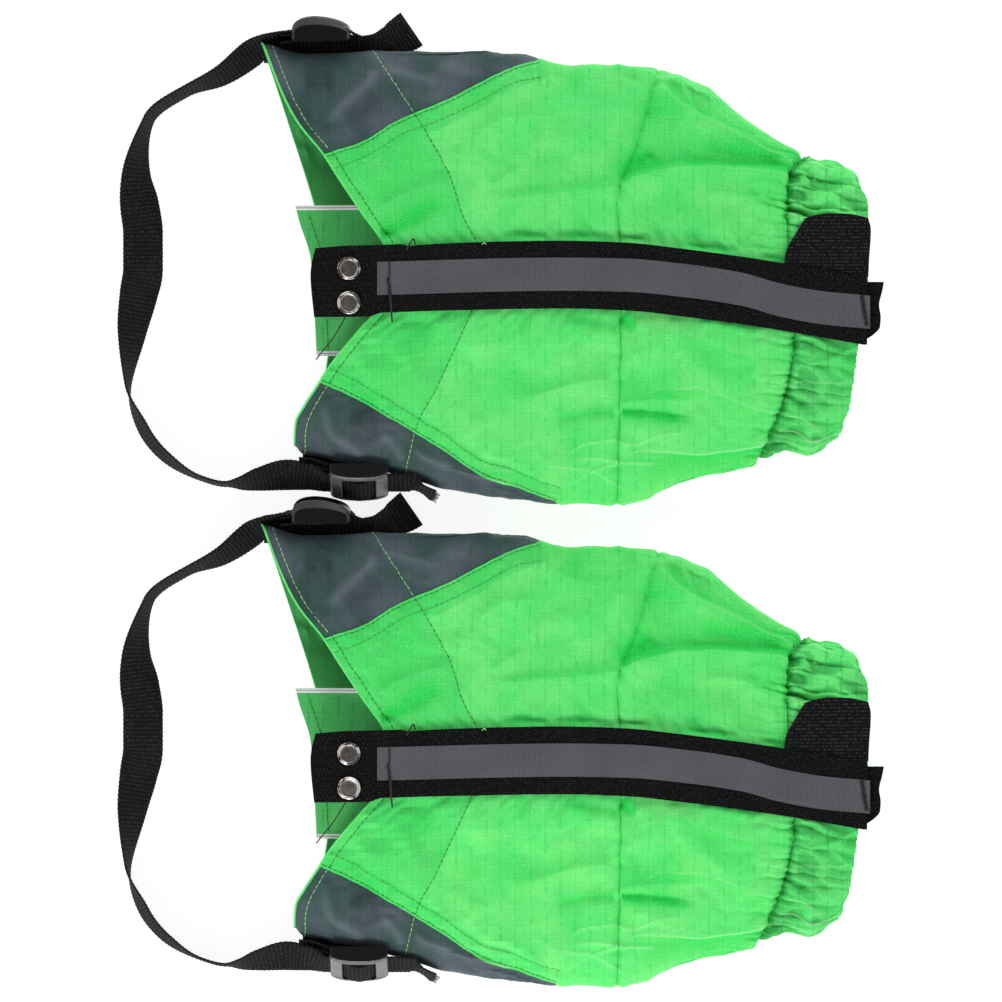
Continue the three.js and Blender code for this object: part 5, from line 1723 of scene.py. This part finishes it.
def anchor_webbing(buckle):
    """Webbing from inside the hem, round the centre bar and back on itself."""
    reach, drop = buckle["reach"], buckle["drop"]
    gap = CENTRE_BAR_RADIUS + 0.35 + 0.4
    path = [(-reach - 6, CENTRE_BAR_HEIGHT + gap - drop - 0.6)]
    path += [(-reach, CENTRE_BAR_HEIGHT + gap - drop), (-HALF_LENGTH + 2, CENTRE_BAR_HEIGHT + gap)]
    path += [(gap * math.sin(t), CENTRE_BAR_HEIGHT + gap * math.cos(t)) for t in np.linspace(0, np.pi, 9)]
    path += [(-HALF_LENGTH + 2, CENTRE_BAR_HEIGHT - gap), (-reach, CENTRE_BAR_HEIGHT - gap - drop)]
    path += [(-reach - 6, CENTRE_BAR_HEIGHT - gap - drop - 0.6)]
    return webbing_on_buckle("anchor_webbing", path, buckle, WEBBING_WIDTH - 0.4, 0.8)


def buckle_bump(buckle):
    """The strap where it rises over the centre bar between the buckle's two end plates."""
    half = [(4.4, 8.4), (7.2, 6.6), (9.5, 5.0), (12.5, 4.6)]
    rise = [(-a, b) for a, b in reversed(half)] + [(0, 9.5)] + half
    return webbing_on_buckle("buckle_bump", smooth_path(rise, 90), buckle, WEBBING_WIDTH, WEBBING_THICKNESS)


def sewn_webbing(edge, out, start, end, reach):
    """Webbing sewn along the fold under the sleeve's edge; reach is how far it stands out of the edge."""
    x = np.arange(start, end, RIB_PITCH / 5)
    inner, outer = edge(x) - out * 8.0, edge(x) + out * reach(x)
    flank = flank_height(x)
    low = np.stack([x, inner, flank - 9.5], axis=-1)
    high = np.stack([x, outer, flank - 3.0 + 0.5 * BROAD(x / 9, x * 0 + 3)], axis=-1)
    centre, across = (low + high) / 2, high - low
    width = np.linalg.norm(across, axis=1)
    return webbing("sewn_webbing", centre, across / width[:, None], width.mean(), WEBBING_THICKNESS, 18)


def level_height(roll):
    """Height of a strap's centre over its lower edge."""
    turn = np.radians(roll)
    return (WEBBING_WIDTH * np.sin(turn) + WEBBING_THICKNESS * np.abs(np.cos(turn))) / 2


def buckle_run(name, enter, leave):
    """Two strap stations, between which the strap runs straight through a buckle."""
    buckle = BUCKLES[name]
    tilt, roll = math.radians(buckle["lean"]), 90 - buckle["lean"]
    wide = buckle["y"] + buckle["side"] * STRAP_HEIGHT * math.cos(tilt)
    lift = buckle["z"] + STRAP_HEIGHT * math.sin(tilt) - level_height(roll)
    return [(buckle["x"] + offset, wide, float(lift), roll) for offset in (enter, leave)]


# x, y, how far the lower edge is off the floor, and the roll in degrees: 90 stands on edge, 180 lies flat
STRAP_STATIONS = [
    (-44.6, 116.9, 0.1, 172), (-50, 113.2, 0.2, 157), (-56, 110, 0.4, 137), (-63, 108.6, 0.8, 118),
    (-69, 109.6, 1.4, 104), *buckle_run("outer", 13.5, -15.5), (-117, 110, 2.5, 108),
    (-125, 104, 0.6, 128), (-140.5, 92.7, 0.1, 116), (-158, 85, 0, 102), (-176.5, 71, 0, 102),
    (-183, 42.5, 0, 133), (-181.5, 27.5, 0, 165), (-180, 14, 0, 180), (-180, -4, 0, 180),
    (-182, -17, 0, 158), (-185, -35, 0, 133), (-187, -62, 0, 95), (-179, -85, 0, 72),
    (-168, -98.5, 0, 74), (-150.5, -109, 0.1, 84), (-138, -112, 0.6, 84), (-130.5, -111.6, 1.2, 72),
    (-121, -109.6, 2.5, 56), (-106.5, -107.4, 5, 42), (-97, -108.4, 8, 50),
    *buckle_run("inner", -15.5, 25.5), (-39.5, -114.3, 9.5, 79), (-32.5, -118.6, 8, 74)]


def strap_track():
    """Dense centre line and width direction of the instep strap."""
    stations = np.array(STRAP_STATIONS, float)
    along = travel(stations[:, :2])
    at = np.arange(0, along[-1], RIB_PITCH / 5)
    x, y, lift, roll = (through(list(zip(along, column)))(at) for column in stations.T)
    centre = np.stack([x, y, lift + level_height(roll)], axis=-1)
    tangent = unit(np.gradient(centre, axis=0))
    level = unit(np.stack([-tangent[:, 1], tangent[:, 0], 0 * x], axis=-1))
    turn = np.radians(roll)[:, None]
    across = level * np.cos(turn) + np.array([0.0, 0.0, 1.0]) * np.sin(turn)
    return centre, across


def strap_trim(v, end):
    """The outer tail is cut straight; the inner one is worn round at its corners."""
    return np.full_like(v, 0.6) if end == 0 else 1.6 * v**4


def frayed_end(centre, across, face, count, seed):
    """Short melted yarns along a cut end of the strap."""
    random = np.random.default_rng(seed)
    outward = unit(np.cross(across, face))
    parts = []
    for k in range(count):
        v = -1 + 2 * (k + 0.5) / count
        root = centre + across * v * (WEBBING_WIDTH / 2 - 0.8) + face * random.uniform(-0.3, 0.3)
        length = random.uniform(0.6, 2.0)
        sway = across * random.uniform(-0.4, 0.4) + face * random.uniform(-0.4, 0.4)
        path = [root - outward * 1.0, root, root + outward * length * 0.6 + sway * 0.4,
                root + outward * length + sway]
        parts.append(tube(path, [0.3, 0.3, 0.26, 0.3], 5, tuple(face + 0.01)))
    return parts


for name, buckle in BUCKLES.items():
    put(f"{name}_buckle_body", buckle_mesh(buckle), "buckles", [f"{name}_buckle"])
    put(f"{name}_anchor_webbing", anchor_webbing(buckle), "buckles", [f"{name}_anchor_tab"])
    put(f"{name}_strap_bump", buckle_bump(buckle), "buckles")
outer_reach = through([
    (-119, 1.0), (-114, 4.0), (-108, 8.0), (-92, 9.2), (-78, 10.2), (-71, 7.6), (-63, 4.6), (-52, 2.5)])
inner_reach = through([(-100, 2.0), (-96, 8.5), (-84, 8.0), (-70, 4.5), (-58, 3.5)])
put("outer_sewn_webbing", sewn_webbing(outer_edge, 1, -119, -53, outer_reach), "shell")
put("inner_sewn_webbing", sewn_webbing(inner_edge, -1, -99, -58, inner_reach), "shell")

strap_centre, strap_across = strap_track()
put("instep_webbing", webbing("instep_webbing", strap_centre, strap_across, trim=strap_trim),
    "strap", ["instep_strap"])
last_face = unit(np.cross(strap_centre[-1] - strap_centre[-2], strap_across[-1]))
tail_fray = frayed_end(strap_centre[-1], strap_across[-1], last_face, 22, 8)
put("inner_tail_fray", merged("inner_tail_fray", tail_fray, [MELTED_END]), "strap")


# ---- Stitching ----
ON_FABRIC = 0.12  # how far above the fabric's face a thread's path runs


def split_by(mask, path, normal):
    """The runs of a path where mask is true."""
    edges = np.flatnonzero(np.diff(mask.astype(int))) + 1
    pieces = zip(np.split(mask, edges), np.split(path, edges), np.split(normal, edges))
    return [(p, n) for m, p, n in pieces if m[0] and len(p) > 3]


GREEN_STITCH = dict(pitch=3.1, share=0.84, radius=0.21)
SEAM_STITCH = dict(pitch=3.0, share=0.86, radius=0.17)
rows = {"dark": [], "soft": [], "pale": []}


def add_rows(kind, mask, path, normal, style):
    for piece in split_by(mask, path, normal):
        rows[kind] += stitch_parts(*piece, **style)


def on_side_panel(x, angle):
    """Whether a place is on a gray side panel."""
    turned = turned_to_front(angle)
    on_outer = (np.abs(turned) < outer_seam(x)) & (x < OUTER_POINT)
    on_inner = (np.abs(turned - np.pi) < inner_seam(x)) & (x < INNER_POINT)
    before_point = (np.cos(angle) < 0) | (x < OUTER_POINT - 4)
    return (on_outer | on_inner) & (seam_distance(x, angle) < 0) & (x < INNER_POINT - 4) & before_point


def ring_row(line, style):
    """A row of stitches round the sleeve: dark on the green panels, pale on the gray ones."""
    angle = np.linspace(CLOSURE + 0.12, CLOSURE + TURN - 0.12, 2400)
    x = line(angle) + 0.12 * ALONG_SEAM(angle * 30, angle * 0 + 3)
    on_gray, normal = on_side_panel(x, angle), shell_normal(x, angle)
    add_rows("dark", ~on_gray, surface(x, angle, ON_FABRIC), normal, style)
    add_rows("pale", on_gray, surface(x, angle, ON_FABRIC - UNDER), normal, style)


ring_row(lambda angle: hem(angle) + HEM_STITCH, GREEN_STITCH)
ring_row(facing_end, GREEN_STITCH)
ring_row(across_seam(cuff_seam), dict(pitch=3.4, share=0.82, radius=0.2))


def seam_row(seam, middle, start, point, offset, direction):
    """A row beside one seam of a side panel, offset into the green."""
    x = np.linspace(start, point - POINT_TRIM, 900)
    seam_angle = middle + direction * seam(x)
    angle = seam_angle + direction * offset * angle_per_mm(x, seam_angle)
    kind = "dark" if offset == SEAM_ROWS[0] else "soft"
    add_rows(kind, x > hem(angle) + 0.6, surface(x, angle, ON_FABRIC), shell_normal(x, angle), SEAM_STITCH)


OUTER_SIDE = (outer_seam, 0.0, -116, OUTER_POINT)
INNER_SIDE = (inner_seam, np.pi, -101, INNER_POINT)
for side_panel, upper in ((OUTER_SIDE, 1), (INNER_SIDE, -1)):
    for offset in SEAM_ROWS:
        for direction in (upper, -upper):
            seam_row(*side_panel, offset, direction)
for kind, finish in (("dark", DARK_THREAD), ("soft", SOFT_THREAD), ("pale", PALE_THREAD)):
    put(f"shell_stitching_{kind}", merged(f"stitching_{kind}", rows[kind], [finish]), "shell")


def middle_seam_crease():
    """The plain seam between the panels: a thin closed crease all the way round."""
    angle = np.linspace(CLOSURE + 0.1, CLOSURE + TURN - 0.1, 1500)
    x = middle_seam(np.cos(angle)) + 0.25 * ALONG_SEAM(angle * 26, angle * 0 + 7)
    sunk = 0.42 * smoothstep(np.cos(angle), 0.25, 0.45) * (np.sin(angle) > 0)
    path = surface(x, angle, -0.02 - sunk)
    swell = 0.28 + 0.1 * ALONG_SEAM(angle * 40, angle * 0 + 1)
    return merged("middle_seam_crease", [tube(path, swell, 6, (0.1, 0, 1))], [SEAM_CREASE])


put("middle_seam_crease", middle_seam_crease(), "shell")

underlap_y = np.linspace(UNDERLAP_LOW + 1, UNDERLAP_HIGH - 1, 200)
underlap_path = underlap_place(6.0 / (UNDERLAP_END - underlap_start(underlap_y)), underlap_y, -0.1)
straight_up = np.broadcast_to(np.array([0.0, 0.0, 1.0]), underlap_path.shape)
underlap_row = stitch_parts(underlap_path, straight_up, **GREEN_STITCH)
put("underlap_stitching", merged("underlap_stitching", underlap_row, [DARK_THREAD]), "shell")


ZIGZAG_PITCH = 0.55


def zigzag(start, end, width, height, seed):
    """A dense bar of zigzag stitches over the reflective strip."""
    start, end = np.array(start, float), np.array(end, float)
    length = np.linalg.norm(end - start)
    along = (end - start) / length
    sideways = np.array([-along[1], along[0]])
    count = int(length / ZIGZAG_PITCH)
    random = np.random.default_rng(seed)
    swing = np.where(np.arange(count) % 2 == 0, 1, -1) * width / 2 * random.uniform(0.6, 1.25, count)
    plan = start + along * (np.arange(count) * ZIGZAG_PITCH)[:, None] + sideways * swing[:, None]
    z = tape_level(plan[:, 0]) + TAPE_THICKNESS + height + 0.12 * random.uniform(-1, 1, count)
    path = resample(np.column_stack([plan, z]), 0.5)
    return tube(path, 0.27, 6)


def loose_thread(points, radius):
    """A thread's end that curls away from its seam."""
    return tube(smooth_path(points, 14 * len(points)), radius, 8, (0.3, 0.2, 1))


closure_threads = [
    zigzag((-55.6, -0.8), (-55.2, -10.0), 0.9, 0.75, 2),
    zigzag((-56.2, -9.5), (-55.0, -19.0), 1.9, 0.75, 3),
    zigzag((179.0, -18.2), (182.0, -34.0), 2.2, 0.8, 4),
    loose_thread([(-55, -18, 47.2), (-54.6, -24, 46.9), (-54.3, -28.5, 45), (-54.0, -31.5, 43.2)], 0.5),
    loose_thread([(-46.8, 4, 47.3), (-44.8, 8, 46.9), (-43.4, 9.6, 46), (-42.6, 6.8, 45.6)], 0.4),
]
put("closure_threads", merged("closure_threads", closure_threads, [BLACK_THREAD]), "closure")
black_end = loose_thread([
    (-77.0, -28.6, 42.6), (-79.5, -33, 40.8), (-84.0, -40, 36.6), (-88.5, -45.5, 35.4), (-92.0, -50, 33.6)],
    0.32)
green_end = loose_thread([
    (-11, 2, 45.2), (-10.2, 5.5, 47.0), (-8.2, 7.6, 47.2), (-6.8, 5.0, 47.1), (-6.4, 3.0, 46.9)], 0.25)
put("loose_black_thread", merged("loose_black_thread", [black_end], [BLACK_THREAD]), "shell")
put("loose_green_thread", merged("loose_green_thread", [green_end], [PALE_THREAD]), "closure")

# ---- Floor, light and camera ----
VIEW_SPAN = 0.501  # metres across the camera's view
VIEW_HEIGHT = 0.02  # of the plane that the span is measured in
VIEW_OFFSET = -120.5  # mm from the first gaiter's origin to the middle of the view
FLOOR_SIZE, FLOOR_DROP, FLOOR_GLOW = 3.0, 0.0002, 0.86
LENS, SENSOR_WIDTH, FARTHEST_SEEN = 250, 36, 20
HORIZON_LIGHT, OVERHEAD_LIGHT = 1.25, 0.2
LIGHTS_AIM = Vector((0.0, 0.0, 0.02))


def make_floor():
    """A white floor just below the gaiters, which glows a little so that it stays pale."""
    mesh = bpy.data.meshes.new("floor")
    corners = [(-1, -1), (1, -1), (1, 1), (-1, 1)]
    mesh.from_pydata([(FLOOR_SIZE * x, FLOOR_SIZE * y, 0) for x, y in corners], [], [(0, 1, 2, 3)])
    floor = add_object("floor", mesh)
    floor.location.z = -FLOOR_DROP
    f = Finish("floor_white", 0.9, specular=0.1)
    mesh.materials.append(f.finish(srgb(150, 150, 150)))
    f.surface.inputs["Emission Color"].default_value = (1, 1, 1, 1)
    f.surface.inputs["Emission Strength"].default_value = FLOOR_GLOW


def area_light(name, place, size, power):
    """A round soft light aimed at the gaiters."""
    data = bpy.data.lights.new(name, "AREA")
    data.shape, data.size, data.energy = "DISK", size, power
    lamp = add_object(name, data)
    lamp.location = place
    lamp.rotation_euler = (LIGHTS_AIM - Vector(place)).to_track_quat("-Z", "Y").to_euler()


def make_camera():
    """A long lens straight above the pair."""
    data = bpy.data.cameras.new("camera")
    data.lens, data.sensor_width, data.clip_end = LENS, SENSOR_WIDTH, FARTHEST_SEEN
    camera = add_object("camera", data)
    middle = (ORIGIN["left"] + [0, VIEW_OFFSET, 0]) / 1000
    camera.location = (middle[0], middle[1], VIEW_HEIGHT + VIEW_SPAN * LENS / SENSOR_WIDTH)
    bpy.context.scene.camera = camera


def make_world():
    """A white studio: bright towards the horizon, dimmer overhead where the camera is."""
    world = bpy.data.worlds.new("studio")
    world.use_nodes = True
    tree = world.node_tree
    background = tree.nodes["Background"]
    place = tree.nodes.new("ShaderNodeTexCoord")
    axes = tree.nodes.new("ShaderNodeSeparateXYZ")
    level = tree.nodes.new("ShaderNodeMapRange")
    level.interpolation_type = "SMOOTHSTEP"
    for socket, value in zip(level.inputs[1:5], (0.45, 0.97, HORIZON_LIGHT, OVERHEAD_LIGHT)):
        socket.default_value = value
    tree.links.new(place.outputs["Generated"], axes.inputs[0])
    tree.links.new(axes.outputs[2], level.inputs[0])
    tree.links.new(level.outputs[0], background.inputs[1])
    background.inputs[0].default_value = (1.0, 1.0, 1.0, 1)
    bpy.context.scene.world = world


make_floor()
area_light("key", (-0.35, -1.35, 1.05), 0.7, 11)
area_light("fill", (0.6, 1.4, 1.1), 1.2, 6)
make_world()
make_camera()
bpy.context.scene.view_settings.view_transform = "Standard"
